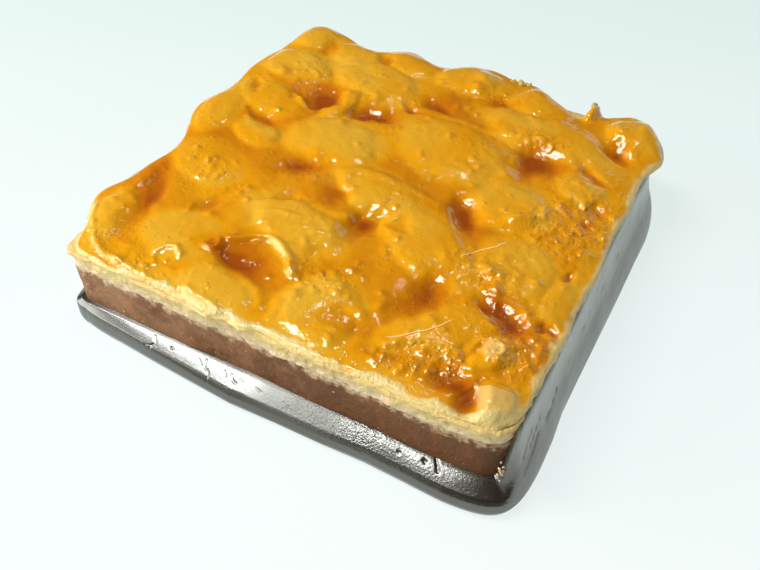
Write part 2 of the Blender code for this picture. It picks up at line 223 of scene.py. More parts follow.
# Almond flakes: x, y, half length, half width (mm), turn (degrees), lift (mm)
FLAKES = (
    (-33.5, -25.0, 5.6, 4.2, -62, 1.30),
    (-20.5, -24.2, 8.6, 5.6, -8, 1.40),
    (-10.5, -31.0, 6.3, 4.9, 0, 1.40),
    (-7.7, -14.2, 8.8, 5.6, -12, 1.75),
    (-28.0, -8.0, 7.5, 5.0, -15, 1.25),
    (-35.0, 4.5, 4.2, 7.5, 5, 1.45),
    (-25.5, 2.2, 5.0, 3.4, -8, 1.50),
    (4.1, -27.2, 6.6, 6.2, 0, 1.60),
    (19.0, -23.0, 9.0, 3.6, 38, 1.35),
    (11.5, -8.5, 10.5, 5.4, -28, 1.60),
    (25.0, -6.5, 7.0, 5.2, -20, 1.35),
    (27.8, -23.2, 3.9, 2.2, 58, 1.75),
    (31.1, -30.2, 4.4, 3.3, 78, 1.90),
    (32.5, -10.5, 2.6, 5.5, 0, 1.20),
    (17.5, 23.8, 11.5, 4.8, -2, 1.85),
    (5.0, 13.5, 10.5, 7.4, -6, 1.65),
    (19.5, 4.5, 7.0, 6.0, 10, 1.50),
    (27.0, 13.5, 5.2, 3.6, -20, 1.45),
    (31.5, 31.0, 5.4, 5.2, 20, 2.30),
    (22.2, 34.6, 3.4, 1.1, 75, 2.40),
    (13.5, 32.0, 6.0, 4.8, -5, 1.70),
    (-0.5, 33.0, 6.4, 5.0, 0, 1.80),
    (-12.0, 32.5, 6.2, 4.4, 0, 1.60),
    (-32.5, 32.5, 5.4, 4.8, 15, 1.80),
    (-22.5, 30.5, 6.6, 4.2, -10, 1.50),
    (-14.5, 24.6, 8.8, 5.2, -8, 1.60),
    (-30.0, 22.5, 7.4, 4.6, 10, 1.55),
    (-16.7, 15.0, 2.8, 5.4, -8, 1.70),
    (-29.0, 12.0, 8.0, 4.4, -6, 1.40),
    (-12.5, 6.0, 9.2, 6.0, 8, 1.70),
    (-1.5, -1.5, 9.0, 4.6, -18, 1.60),
)

# Pits between the flakes: x, y, half length, half width (mm), turn (degrees), depth (mm)
PITS = (
    (-21.1, 15.2, 3.6, 2.8, -75, 2.0),
    (-11.1, 15.8, 3.6, 1.8, 32, 1.2),
    (18.4, 16.2, 3.7, 3.9, 0, 1.3),
    (13.7, 0.3, 3.6, 2.2, -50, 1.6),
    (1.4, -8.6, 2.5, 3.4, -10, 1.9),
    (-14.4, -2.6, 3.1, 2.0, 48, 0.7),
    (-10.1, -24.6, 5.6, 1.5, -8, 0.6),
    (27.1, -16.6, 3.4, 1.9, -32, 1.1),
    (30.1, 26.0, 2.2, 1.7, -25, 1.6),
    (28.1, -31.0, 1.6, 2.8, -12, 1.5),
    (23.7, -29.2, 2.8, 2.2, 0, 0.8),
    (15.1, -17.6, 5.2, 2.2, 68, 0.8),
    (-31.5, -19.5, 1.8, 8.0, 12, 0.8),
)

# Dark pools of burnt sugar that are not sunk: x, y, half length, half width, turn, strength
STAINS = (
    (-12.6, -23.8, 6.2, 2.0, -8, 2.0),
    (25.6, -15.4, 4.2, 1.9, -32, 1.6),
    (25.4, -29.8, 3.0, 2.2, -10, 1.3),
    (-14.4, -2.5, 3.3, 1.6, 48, 1.1),
)

# Cracks and dots in the foot's front ledge: depth, half width and points (mm)
LEDGE_MARKS = (
    (0.35, 0.16, (-20.9, -34.5), (-20.3, -35.4), (-20.9, -36.3)),
    (0.25, 0.14, (-21.9, -36.1), (-20.6, -35.8)),
    (0.40, 0.24, (-17.5, -35.1), (-17.3, -35.2)),
    (0.35, 0.15, (-11.5, -34.6), (-11.2, -35.6), (-10.3, -36.1), (-9.9, -37.2)),
    (0.25, 0.13, (-12.5, -35.0), (-11.6, -35.8)),
    (0.30, 0.14, (-8.0, -34.9), (-7.4, -35.6)),
    (0.30, 0.14, (-6.7, -35.0), (-6.3, -35.7), (-5.4, -35.9)),
    (0.25, 0.13, (-5.4, -35.0), (-4.6, -35.5)),
    (0.20, 0.16, (-2.4, -35.4), (-1.4, -35.6)),
    (0.20, 0.16, (3.0, -35.6), (3.5, -36.1)),
    (0.20, 0.14, (11.0, -36.4), (11.2, -37.0)),
    (0.20, 0.14, (14.2, -35.1), (14.2, -35.9)),
    (0.25, 0.20, (20.3, -35.1), (20.5, -35.2)),
    (0.45, 0.32, (24.0, -34.8), (24.2, -34.9)),
    (0.55, 0.28, (25.4, -33.9), (25.8, -34.6), (26.3, -35.3)),
    (-0.25, 0.40, (-9.0, -37.7), (-7.4, -37.8)),
    (-0.25, 0.35, (-12.6, -37.2), (-11.8, -37.3)),
)

# Wrinkles in the chocolate run up the right side: depth, half width and points, each y and level
SIDE_MARKS = (
    (0.22, 0.16, (-17.8, 7.8), (-20.0, 7.0), (-22.6, 6.7)),
    (0.22, 0.14, (-24.6, 9.6), (-26.4, 8.8), (-28.2, 7.6)),
    (0.25, 0.16, (-25.2, 7.4), (-27.6, 6.2), (-30.8, 5.2)),
    (0.18, 0.14, (-27.0, 10.8), (-28.8, 9.4), (-30.4, 7.4)),
    (0.15, 0.20, (-4.0, 9.5), (-9.0, 8.6), (-13.0, 8.4)),
    (0.15, 0.20, (10.0, 9.0), (5.0, 9.4), (1.0, 8.8)),
    (-0.30, 0.40, (-24.0, 1.9), (-24.4, 2.0)),
)

# Fine sugar threads over the topping: points (mm)
THREADS = (
    ((16.9, -9.3), (17.6, -7.6), (18.8, -6.2), (20.4, -4.8), (21.6, -2.8)),
    ((14.0, -27.2), (16.0, -25.8), (18.4, -23.8), (19.8, -22.0), (20.7, -20.3)),
)
THREAD_RADIUS = 0.07
THREAD_WAVE = 0.10
THREAD_LIFT = 1.1

# Crumbs: x, y, level, size (mm), and whether of pale flour or of green-yellow almond skin
CRUMBS = (
    (34.05, -33.60, 8.0, 0.30, 0), (34.20, -33.35, 7.5, 0.34, 0), (33.85, -33.70, 8.6, 0.20, 0),
    (34.25, -33.30, 8.7, 0.20, 0), (33.75, -33.75, 7.2, 0.18, 0), (34.30, -33.20, 6.6, 0.22, 0),
    (33.90, -33.60, 10.0, 0.17, 0), (34.15, -33.40, 5.4, 0.16, 0), (6.6, 36.9, 15.5, 0.75, 1),
    (7.9, 37.6, 15.4, 0.85, 1), (9.4, 37.0, 15.6, 0.90, 1), (10.6, 36.2, 15.6, 0.65, 1),
    (8.6, 36.2, 16.1, 0.60, 1), (22.0, 36.5, 15.9, 0.70, 1), (22.9, 35.4, 16.2, 0.60, 1),
)

# Small pits that only the finished surface has, written as the pits
SMALL_PITS = (
    (-5.3, 20.8, 1.5, 1.0, -30, 0.8),
    (-1.5, 23.5, 3.2, 1.3, -25, 0.6),
    (4.9, -7.0, 2.6, 0.9, 12, 0.6),
    (-23.9, 14.2, 3.2, 1.1, -38, 0.8),
    (31.9, -15.3, 0.9, 1.2, 0, 0.9),
    (32.2, -4.9, 0.8, 1.1, 10, 0.8),
    (24.1, -15.2, 2.2, 1.3, -20, 0.9),
    (-25.7, 6.2, 3.0, 1.4, -12, 0.6),
    (-15.7, 31.0, 1.8, 1.2, -60, 0.7),
    (-27.9, 31.0, 1.4, 3.0, 12, 0.5),
    (-32.9, 13.0, 2.4, 1.2, -50, 0.6),
    (-22.1, -16.0, 2.6, 1.5, 50, 0.5),
    (-11.7, -9.1, 1.8, 1.0, 20, 0.4),
    (-6.0, -4.6, 2.6, 1.5, -10, 0.5),
    (27.8, 18.0, 3.8, 0.8, -32, 0.5),
    (31.4, 10.5, 1.8, 1.2, -30, 0.6),
    (31.6, 7.2, 1.2, 0.9, 20, 0.5),
    (8.0, 28.6, 2.8, 1.3, 40, 0.5),
    (9.1, -27.0, 4.6, 2.2, 14, 0.5),
)

# Patches where the glaze dried in small beads: x, y, half length, half width, turn, strength
BEADED_PATCHES = (
    (29.0, 5.5, 8.0, 6.5, 70, 1.0),
    (17.0, 21.5, 4.5, 2.2, 0, 0.7),
    (-24.0, -10.5, 8.0, 3.0, -15, 0.3),
    (-27.0, 19.5, 5.0, 4.0, 20, 0.3),
    (20.0, -28.0, 7.0, 3.4, 20, 0.9),
    (30.0, -20.0, 4.5, 6.0, 0, 0.9),
    (-27.0, -30.0, 9.0, 3.2, -8, 0.3),
    (0.0, -22.0, 6.0, 3.5, 0, 0.6),
    (21.0, -10.0, 7.0, 3.0, -20, 0.6),
)

# Drops of glaze: the few outside the patches, written as a patch; how many stand on a patch for
# each square millimetre of half length by half width; half width (mm), and height and half
# length for each millimetre of it
STRAY_DROPS = (0, 0, 33, 33, 0, 0.05)
DROP_SEED = 19
DROP_CROWD = 1.7
DROP_SIZES = (0.30, 0.52)
DROP_HEIGHTS = (0.4, 0.75)
DROP_LENGTHS = (1.0, 1.8)

# Lighter flakes and darker pools seen through the glaze: x, y, half length, half width, turn, tone
TONES = (
    (-33.5, -28.5, 5.0, 2.4, -50, 0.9),
    (-26.0, -31.2, 6.5, 2.0, -8, 0.9),
    (-17.0, -32.0, 5.0, 1.8, -5, 0.9),
    (-31.5, 33.0, 5.0, 3.6, 10, 0.7),
    (-22.5, 24.5, 9.0, 4.0, -5, 0.8),
    (-8.5, 27.5, 6.5, 3.0, -5, 0.7),
    (10.5, 25.6, 8.5, 2.2, -2, 0.8),
    (-13.0, 6.6, 8.5, 4.4, 5, 0.5),
    (-25.0, 3.4, 4.4, 1.9, -12, 0.9),
    (2.0, -3.6, 10.5, 3.6, -10, 0.6),
    (-21.5, -23.4, 7.0, 4.4, 0, 0.8),
    (-15.5, -15.5, 3.4, 3.0, 20, 0.6),
    (-6.5, -13.6, 5.6, 3.6, -10, 0.4),
    (1.4, -25.6, 3.2, 4.6, -10, 0.9),
    (-10.5, -29.6, 5.6, 3.0, 0, 0.6),
    (-34.4, -24.0, 2.6, 4.6, 24, 0.5),
    (24.0, -3.4, 5.5, 3.2, -10, 0.5),
    (22.2, 8.6, 5.4, 2.6, 0, 0.5),
    (33.6, -1.5, 1.3, 8.5, 2, 0.9),
    (29.0, 5.5, 7.5, 5.5, 70, 0.5),
    (33.8, 15.5, 1.2, 9.0, 2, 0.9),
    (30.5, 17.0, 3.0, 7.0, 4, 0.6),
    (20.2, -14.6, 3.0, 2.0, 20, 0.4),
    (30.4, -22.5, 1.8, 2.6, 0, 0.6),
    (31.8, 30.5, 3.6, 3.6, 0, 0.3),
    (-34.5, 8.5, 2.8, 7.0, 8, 0.4),
    (-31.0, -16.0, 2.4, 7.5, 8, -0.8),
    (-13.6, -23.4, 4.6, 1.3, -8, -1.0),
    (-28.0, -27.5, 1.2, 3.4, 15, -0.8),
    (-19.8, -14.4, 2.0, 1.6, 40, -0.7),
    (9.5, -27.0, 8.0, 3.0, 5, -0.8),
    (14.8, -16.6, 3.0, 5.4, 12, -0.9),
    (25.0, -29.2, 4.4, 2.4, -10, -1.0),
    (14.3, 9.6, 0.7, 3.6, 0, -0.7),
    (4.5, 4.6, 5.0, 1.6, -8, -0.6),
    (26.8, 18.4, 4.6, 1.1, -30, -0.8),
    (-11.5, -8.6, 3.0, 1.4, 20, -0.6),
    (-5.4, -4.8, 2.4, 1.2, -10, -0.7),
    (34.2, -18.0, 0.8, 9.0, 2, -0.7),
    (-27.6, 30.6, 1.4, 3.2, 12, -0.7),
    (-15.0, 31.0, 2.2, 1.4, -50, -0.7),
    (8.4, 30.2, 2.8, 1.6, 40, -0.7),
    (-24.2, 6.2, 3.2, 1.6, -12, -0.9),
    (-32.8, 13.2, 2.4, 1.1, -50, -0.8),
    (-2.0, 23.0, 4.0, 1.3, -20, -0.7),
    (-15.0, -1.6, 4.6, 2.6, 40, -0.6),
    (-25.0, -12.5, 5.0, 2.2, -15, -0.4),
    (10.0, 12.0, 7.0, 5.0, 0, -0.35),
    (-21.5, 13.0, 6.0, 3.2, -25, -0.5),
)

# Raised strands and flake edges: height, half width and points (mm)
RIDGES = (
    (0.70, 0.62, (-14.7, -21.5), (-12.5, -19.8), (-9.8, -18.4), (-6.5, -19.3), (-4.2, -21.2),
     (-2.9, -23.2)),
    (0.42, 0.48, (-22.9, -28.6), (-21.8, -27.2), (-20.3, -26.7), (-19.0, -27.6)),
    (0.48, 0.50, (-17.0, -24.2), (-15.8, -24.5), (-15.2, -23.2), (-15.9, -22.4)),
    (0.35, 0.60, (-37.6, -24.5), (-35.5, -27.5), (-33.0, -30.2), (-30.0, -31.8), (-25.0, -32.6),
     (-16.5, -33.3)),
    (0.35, 0.60, (-14.5, -32.0), (-12.0, -32.7), (-9.8, -33.0), (-8.3, -34.0)),
    (0.50, 0.60, (-25.5, 14.4), (-22.6, 12.6), (-20.4, 11.6), (-19.3, 13.2)),
    (0.40, 0.50, (24.9, -23.6), (25.2, -21.8), (26.6, -20.8), (28.2, -20.0)),
    (0.35, 0.45, (28.6, -24.2), (29.2, -22.6), (28.7, -21.6)),
    (0.25, 0.35, (24.6, -18.2), (26.2, -18.6), (27.0, -17.6), (26.6, -16.6)),
    (0.16, 0.60, (-5.5, 20.9), (2.0, 21.1), (9.0, 20.6), (14.0, 21.0)),
    (0.20, 0.70, (-1.4, -31.0), (-1.6, -27.0), (-0.3, -23.6), (2.6, -21.4)),
    (0.22, 0.80, (-16.6, -29.6), (-14.0, -27.2), (-10.0, -26.3), (-6.0, -27.4), (-3.9, -30.0)),
    (0.20, 0.80, (-11.6, -3.4), (-8.8, -0.6), (-4.5, 1.2), (2.0, 1.6), (9.0, 0.2)),
    (0.15, 0.80, (-15.2, -12.6), (-12.0, -10.4), (-7.0, -8.8), (-2.6, -9.2)),
)

# Small dabs of glaze that catch the light: x, y, half length, half width, turn, height
DABS = (
    (21.1, 2.3, 1.9, 1.1, 35, 0.85),
    (21.4, -9.6, 2.0, 1.0, -30, 0.75),
    (23.6, -12.2, 1.2, 0.8, -60, 0.60),
    (15.0, -10.3, 1.3, 0.9, -50, 0.40),
    (10.8, -22.4, 0.8, 1.2, 0, 0.35),
    (9.2, -25.0, 1.0, 0.8, 20, 0.30),
    (4.3, -22.3, 1.0, 0.8, 0, 0.30),
    (-0.5, -26.4, 1.0, 1.0, 0, 0.40),
    (-30.9, 18.9, 1.1, 1.5, 40, 0.45),
    (-27.6, 18.2, 1.2, 1.4, 30, 0.45),
    (-12.4, 19.7, 1.2, 1.2, 0, 0.45),
    (2.5, 30.5, 1.4, 1.9, 40, 0.55),
    (2.2, 33.8, 1.2, 1.8, 40, 0.50),
    (32.0, 32.6, 0.9, 1.6, 0, 0.35),
    (28.4, 30.0, 1.0, 0.9, 0, 0.35),
    (-1.6, -8.9, 1.2, 0.8, 0, 0.40),
    (-11.2, -13.2, 1.6, 0.4, 15, 0.20),
    (-8.8, -13.0, 1.4, 0.4, 12, 0.20),
    (-6.6, -14.6, 1.4, 0.4, 25, 0.20),
    (-4.0, -14.6, 1.2, 0.4, 20, 0.20),
    (-1.6, -15.6, 1.2, 0.4, 10, 0.20),
    (1.5, 9.2, 0.4, 1.0, 20, 0.22),
    (-5.0, 14.0, 0.4, 0.8, 30, 0.20),
    (-8.6, 6.4, 0.4, 0.8, 30, 0.20),
    (3.6, 16.2, 0.4, 0.7, 30, 0.18),
    (7.6, 15.4, 0.4, 0.7, 30, 0.18),
    (3.6, -18.6, 1.2, 0.5, 10, 0.25),
    (6.0, -19.0, 0.8, 0.5, 20, 0.22),
    (11.6, -13.6, 1.2, 0.7, 10, 0.22),
    (18.2, -21.6, 1.2, 0.7, -20, 0.25),
    (7.4, -29.2, 1.2, 0.5, 5, 0.25),
    (29.6, -12.0, 0.8, 0.6, 0, 0.25),
    (22.4, -6.4, 0.9, 0.6, 30, 0.25),
    (28.0, -8.6, 0.8, 0.7, 20, 0.25),
    (-27.4, -7.4, 1.0, 0.8, 0, 0.30),
    (-6.2, -1.0, 0.9, 0.6, 50, 0.25),
    (-35.6, -22.6, 1.0, 0.7, 0, 0.30),
)

# Chips of almond with crisp edges: height and corners, counter-clockwise (mm)
CHIPS = (
    (0.42, (27.4, -27.5), (29.6, -32.4), (30.8, -33.6), (33.9, -31.0), (33.6, -27.7)),
    (0.30, (25.2, -23.2), (27.6, -24.6), (29.4, -22.0), (27.4, -20.4), (25.8, -21.2)),
)

# Levels of the flake and glaze surfaces above the glaze's bed, in millimetres
GLAZE_LEVEL = 1.2
GLAZE_RIPPLE = 0.16
FLAKE_DOME = 0.45
FLAKE_CROWN = 0.25
FLAKE_DROP = 1.6
FLAKE_EDGE_STARTS = 0.66
FLAKE_EDGE_ENDS = 1.4
FLAKE_FLOOR = -0.6
FLAKE_BLEND = 0.14
SURFACE_BLEND = 0.26
PIT_SHARE = 0.9
PIT_WALL = 0.9
PIT_FLOOR = 0.2
PIT_FLOOR_BLEND = 0.12
BROAD_DRIFT = 0.9
FINE_DRIFT = 0.35

# Dark stain for each millimetre of a pit's depth, its limit, and how it fades outwards
PIT_STAIN = 1.4
PIT_STAIN_LIMIT = 1.7
STAIN_FADE = 1.2
STAIN_POWER = 1.7

# Softness of the edges of the tones, and tone for each millimetre of a raised strand, partly paler crest
# and partly painted highlight
FLAKE_SOFTNESS = 0.25
POOL_SOFTNESS = 0.5
CREST_TONE_AND_HIGHLIGHT = 1.3

# Place on the glaze's run of colours: its start, and shares for depth, stain, tone and front edge
POOL_LEAST = 0.16
POOL_DEPTH = 0.16
POOL_STAIN = 0.29
POOL_TONE = 0.14
POOL_FRONT = 0.14

# Colours that the sidebar leaves alone: greyed chocolate for bloom and a painted reflection, tints of the
# shine, and a painted glow for the threads
CHOCOLATE_BLOOM_AND_SHEEN = (0.22, 0.23, 0.20)
CHOCOLATE_SHINE = (0.97, 1.0, 0.92, 1.0)
GLAZE_SHINE = (1.0, 0.94, 0.66, 1.0)
THREAD_PAINTED_GLOW = (0.75, 0.42, 0.06, 1.0)

# The table: size (m), its glow near the camera and its greyer glow far from it as painted shade, which way
# is far, and where the glow changes along it (m)
TABLE_SIZE = 3.0
TABLE_GLOW_NEAR = (0.775, 0.84, 0.83)
TABLE_SHADED_GLOW_FAR = (0.575, 0.715, 0.67)
TABLE_BACKWARD = (-0.46, 0.887, 0.0)
TABLE_FADE = (-0.07, 0.16)
SKY_STRENGTH = 0.06

# Lights beside the soft box above: name, direction, distance (m), size (m) and power (W)
SIDE_LIGHTS = (
    ("card_behind", (0.55, 0.8, 0.27), 0.6, (0.9, 0.25), 0.55),
    ("card_in_front", (-0.60, -0.75, 0.4), 0.55, (0.6, 0.3), 0.3),
    ("glint_lamp", (-0.15, 0.40, 0.90), 0.5, (0.022, 0.022), 0.07),
    ("card_left", (-0.9, -0.45, 0.35), 0.4, (0.3, 0.3), 1.3),
)

# Camera of the photograph, in the part's frame
CAMERA_PLACE = (0.04559, -0.08962, 0.10279)
CAMERA_FORWARD = (-0.31158, 0.60023, -0.73665)
CAMERA_UP = (-0.34765, 0.64948, 0.67625)
CAMERA_LENS = 39.85
CAMERA_SENSOR = 36.0
CAMERA_NEAR = 0.001


class Wire:
    """A shader socket that can take part in sums, which add their own Math nodes."""

    def __init__(self, tree, socket):
        self.tree = tree
        self.socket = socket

    def node(self, kind, settings, inputs, output=0):
        """Add a node with its settings and the values or links of its sockets."""
        made = self.tree.nodes.new(kind)
        for name, value in settings.items():
            setattr(made, name, value)
        for name, value in inputs.items():
            if isinstance(value, Wire):
                self.tree.links.new(value.socket, made.inputs[name])
            else:
                made.inputs[name].default_value = value
        return Wire(self.tree, made.outputs[output])

    def math(self, operation, first, second):
        """Add one Math node."""
        return self.node("ShaderNodeMath", {"operation": operation}, {0: first, 1: second})

    def __add__(self, other):
        return self.math("ADD", self, other)

    def __radd__(self, other):
        return self.math("ADD", other, self)

    def __sub__(self, other):
        return self.math("SUBTRACT", self, other)

    def __rsub__(self, other):
        return self.math("SUBTRACT", other, self)

    def __mul__(self, other):
        return self.math("MULTIPLY", self, other)

    def between(self, low, high):
        """Rise smoothly from 0 to 1 as this value goes from low to high."""
        settings = {"interpolation_type": "SMOOTHSTEP", "clamp": True}
        inputs = {"Value": self, "From Min": low, "From Max": high, "To Min": 0.0, "To Max": 1.0}
        return self.node("ShaderNodeMapRange", settings, inputs)


def new_material(name):
    """Make a Principled material and return it with its surface node and the surface's place."""
    material = bpy.data.materials.new(name)
    material.use_nodes = True
    tree = material.node_tree
    where = Wire(tree, None).node("ShaderNodeTexCoord", {}, {}, "Object")
    return material, tree.nodes["Principled BSDF"], where


def part_of(where, axis):
    """One coordinate of a place, in metres."""
    return where.node("ShaderNodeSeparateXYZ", {}, {"Vector": where}, axis)


def attribute(where, name):
    """A value stored on the mesh."""
    return where.node("ShaderNodeAttribute", {"attribute_name": name}, {}, "Fac")


def mottle(where, scale, detail=3.0, roughness=0.5, stretched=None):
    """Noise with features of about 1 / scale metres, from 0 to 1."""
    if stretched is not None:
        where = where.node("ShaderNodeMapping", {}, {"Vector": where, "Scale": stretched})
    inputs = {"Vector": where, "Scale": scale, "Detail": detail, "Roughness": roughness}
    return where.node("ShaderNodeTexNoise", {}, inputs, "Fac")


def droplets(where, scale, share):
    """Small domes on a share of cells about 1 / scale metres apart, from 0 to 1."""
    settings = {"feature": "F1", "voronoi_dimensions": "3D"}
    cell = where.node("ShaderNodeTexVoronoi", settings, {"Vector": where, "Scale": scale})
    hue = Wire(where.tree, cell.socket.node.outputs["Color"])
    draw = where.node("ShaderNodeSeparateColor", {}, {"Color": hue})
    return (0.5 - cell).between(0.0, 0.5) * draw.between(1.0 - share, 1.0 - share + 0.05)


def scaled(colour, share):
    """A colour made darker, or lighter by a share above 1."""
    return tuple(channel * share for channel in colour)


def tint(share, first, second):
    """Mix two colours, given as values or wires."""
    colours = [value if isinstance(value, Wire) else (*value, 1.0) for value in (first, second)]
    inputs = {0: share, 6: colours[0], 7: colours[1]}
    return share.node("ShaderNodeMix", {"data_type": "RGBA"}, inputs, 2)


def ramp(share, stops):
    """A colour that runs through the stops, each a position and a colour, as share rises."""
    made = share.node("ShaderNodeValToRGB", {}, {"Fac": share}, "Color")
    elements = made.socket.node.color_ramp.elements
    while len(elements) > 1:
        elements.remove(elements[-1])
    for index, (position, colour) in enumerate(stops):
        stop = elements[0] if index == 0 else elements.new(position)
        stop.position = position
        stop.color = (*colour, 1.0)
    return made


def dent(height, strength, distance):
    """A bump from a height."""
    inputs = {"Strength": strength, "Distance": distance, "Height": height}
    return height.node("ShaderNodeBump", {}, inputs, "Normal")


def connect(surface, **values):
    """Link or set the surface's sockets, written with _ for a space."""
    for name, value in values.items():
        socket = surface.inputs[name.replace("_", " ")]
        if isinstance(value, Wire):
            value.tree.links.new(value.socket, socket)
        else:
            socket.default_value = value


def ripple(x, y, scale):
    """Slow uneven wave over the plan, about -1 to 1."""
    across = np.sin(x * 0.31 * scale + 1.7 + 0.8 * np.sin(y * 0.23 * scale))
    along = np.sin(y * 0.27 * scale - 0.9 + 0.9 * np.sin(x * 0.21 * scale + 2.0))
    slant = 0.6 * np.sin((x + y) * 0.43 * scale + 0.4)
    return (across + along + slant) / 2.6


def grain(x, y, size, seed):
    """Smooth random relief with features of one size in millimetres, about -1 to 1."""
    lattice = np.random.default_rng(seed).uniform(-1.0, 1.0, (LATTICE, LATTICE))
    column = np.floor(x / size).astype(int)
    row = np.floor(y / size).astype(int)
    u = x / size - column
    v = y / size - row
    u = u * u * (3.0 - 2.0 * u)
    v = v * v * (3.0 - 2.0 * v)
    next_column = (column + 1) % LATTICE
    next_row = (row + 1) % LATTICE
    column = column % LATTICE
    row = row % LATTICE
    near = lattice[column, row] * (1 - u) + lattice[next_column, row] * u
    far = lattice[column, next_row] * (1 - u) + lattice[next_column, next_row] * u
    return near * (1 - v) + far * v


def uneven(x, y, layers):
    """Sum of random reliefs, each written as its height, size and seed."""
    return sum(height * grain(x, y, size, seed) for height, size, seed in layers)


def drifts(x, y, layers):
    """Random drift each way, from reliefs whose seeds follow one another."""
    next_layers = [(height, size, seed + len(layers)) for height, size, seed in layers]
    return uneven(x, y, layers), uneven(x, y, next_layers)


def ease(start, end, value):
    """Rise smoothly from 0 to 1 as the value goes from start to end."""
    part = np.clip((value - start) / (end - start), 0.0, 1.0)
    return part * part * (3.0 - 2.0 * part)


def stretch(rise, starts, full, fades, ends):
    """1 along one stretch of a profile and 0 beyond it, with soft ends."""
    return ease(starts, full, rise) * (1.0 - ease(fades, ends, rise))


def read_table(value, rows):
    """Read a table of places and amounts at a value."""
    places, amounts = zip(*rows)
    return np.interp(value, places, amounts)


def smooth_table(value, rows, column):
    """Read one column of a table against its first, with rounded turns at its rows."""
    stops = [row[0] for row in rows]
    amounts = [row[column] for row in rows]
    shifts = (-1.0, -0.5, 0.0, 0.5, 1.0)
    return sum(np.interp(value + shift * TURN_SPREAD, stops, amounts) for shift in shifts) / len(shifts)


def oval_distance(x, y, centre_x, centre_y, half_length, half_width, turn):
    """Distance from an oval's centre, 1 on its outline."""
    cosine = math.cos(math.radians(turn))
    sine = math.sin(math.radians(turn))
    along = ((x - centre_x) * cosine + (y - centre_y) * sine) / half_length
    across = ((y - centre_y) * cosine - (x - centre_x) * sine) / half_width
    return np.hypot(along, across)


def ovals(x, y, rows):
    """Distance from each oval of a table, with the last value of its row."""
    for *oval, amount in rows:
        yield oval_distance(x, y, *oval), amount


def line_distance(x, y, points):
    """Distance from a line through points."""
    nearest = np.full_like(x, FAR)
    for (start_x, start_y), (end_x, end_y) in zip(points, points[1:]):
        run_x = end_x - start_x
        run_y = end_y - start_y
        along = ((x - start_x) * run_x + (y - start_y) * run_y) / (run_x ** 2 + run_y ** 2)
        along = np.clip(along, 0.0, 1.0)
        gap = np.hypot(x - start_x - along * run_x, y - start_y - along * run_y)
        nearest = np.minimum(nearest, gap)
    return nearest


def line_marks(x, y, marks, share=1.0, narrowing=1.0):
    """Relief of marks along lines, each written as its height, half width and points."""
    relief = np.zeros_like(x)
    for height, half_width, *points in marks:
        gap = line_distance(x, y, points)
        relief += share * height * np.exp(-(gap / (narrowing * half_width)) ** 2)
    return relief


def inside_distance(x, y, corners):
    """Distance inside a shape with outward corners, below 0 outside it."""
    least = np.full_like(x, FAR)
    for (start_x, start_y), (end_x, end_y) in zip(corners, corners[1:] + corners[:1]):
        run_x = end_x - start_x
        run_y = end_y - start_y
        gap = (run_x * (y - start_y) - run_y * (x - start_x)) / math.hypot(run_x, run_y)
        least = np.minimum(least, gap)
    return least


def scattered_drops():
    """Drops of glaze, thick in the beaded patches and sparse elsewhere, written as the dabs."""
    random = np.random.default_rng(DROP_SEED)
    drops = []
    for centre_x, centre_y, half_length, half_width, turn, strength in (*BEADED_PATCHES, STRAY_DROPS):
        cosine = math.cos(math.radians(turn))
        sine = math.sin(math.radians(turn))
        for _ in range(int(DROP_CROWD * strength * half_length * half_width)):
            angle = random.uniform(0.0, 2.0 * math.pi)
            out = math.sqrt(random.uniform(0.0, 1.0))
            along = out * half_length * math.cos(angle)
            across = out * half_width * math.sin(angle)
            x = centre_x + along * cosine - across * sine
            y = centre_y + along * sine + across * cosine
            size = random.uniform(*DROP_SIZES)
            height = size * random.uniform(*DROP_HEIGHTS)
            length = size * random.uniform(*DROP_LENGTHS)
            drops.append((x, y, length, size, random.uniform(0, 180), height))
    return tuple(drops)


def flake_surface(x, y, moved_x, moved_y):
    """Level of the glaze over the heaped flakes, and how deep it is on them."""
    heaped = np.exp(np.full_like(x, FLAKE_FLOOR / FLAKE_BLEND))
    for reach, lift in ovals(moved_x, moved_y, FLAKES):
        edge = FLAKE_DROP * ease(FLAKE_EDGE_STARTS, FLAKE_EDGE_ENDS, reach)
        flake = lift + FLAKE_CROWN - FLAKE_DOME * reach ** 2 - edge
        heaped += np.exp(np.maximum(flake, FLAKE_FLOOR) / FLAKE_BLEND)
    flakes = FLAKE_BLEND * np.log(heaped)
    glaze = GLAZE_LEVEL + GLAZE_RIPPLE * ripple(x + 3, y - 7, 1.4)
    surface = SURFACE_BLEND * np.log(np.exp(flakes / SURFACE_BLEND) + np.exp(glaze / SURFACE_BLEND))
    return surface, np.clip(surface - flakes, 0.0, 2.0)


def stain_left(reach):
    """Share of a stain that is left at a distance from its oval's centre."""
    return np.exp(-STAIN_FADE * reach ** STAIN_POWER)


def pits_and_stains(x, y):
    """Depth of the pits, and strength of the dark stains in and beside them."""
    sunk = np.zeros_like(x)
    stain = np.zeros_like(x)
    for reach, deep in ovals(x, y, PITS + SMALL_PITS):
        sunk = np.maximum(sunk, deep * np.exp(-PIT_WALL * reach ** 3))
        stain = np.maximum(stain, min(PIT_STAIN * deep, PIT_STAIN_LIMIT) * stain_left(reach))
    for reach, strength in ovals(x, y, STAINS):
        stain = np.maximum(stain, strength * stain_left(reach))
    return sunk, stain


def flake_tones(x, y):
    """Lighter flakes, above 0, and darker pools, below 0, as they show through the glaze."""
    tone = np.zeros_like(x)
    for reach, strength in ovals(x, y, TONES):
        soft = FLAKE_SOFTNESS if strength > 0 else POOL_SOFTNESS
        share = 1.0 - ease(1.0 - soft, 1.0 + soft, reach)
        tone = np.where(share * abs(strength) > np.abs(tone), share * strength, tone)
    return tone


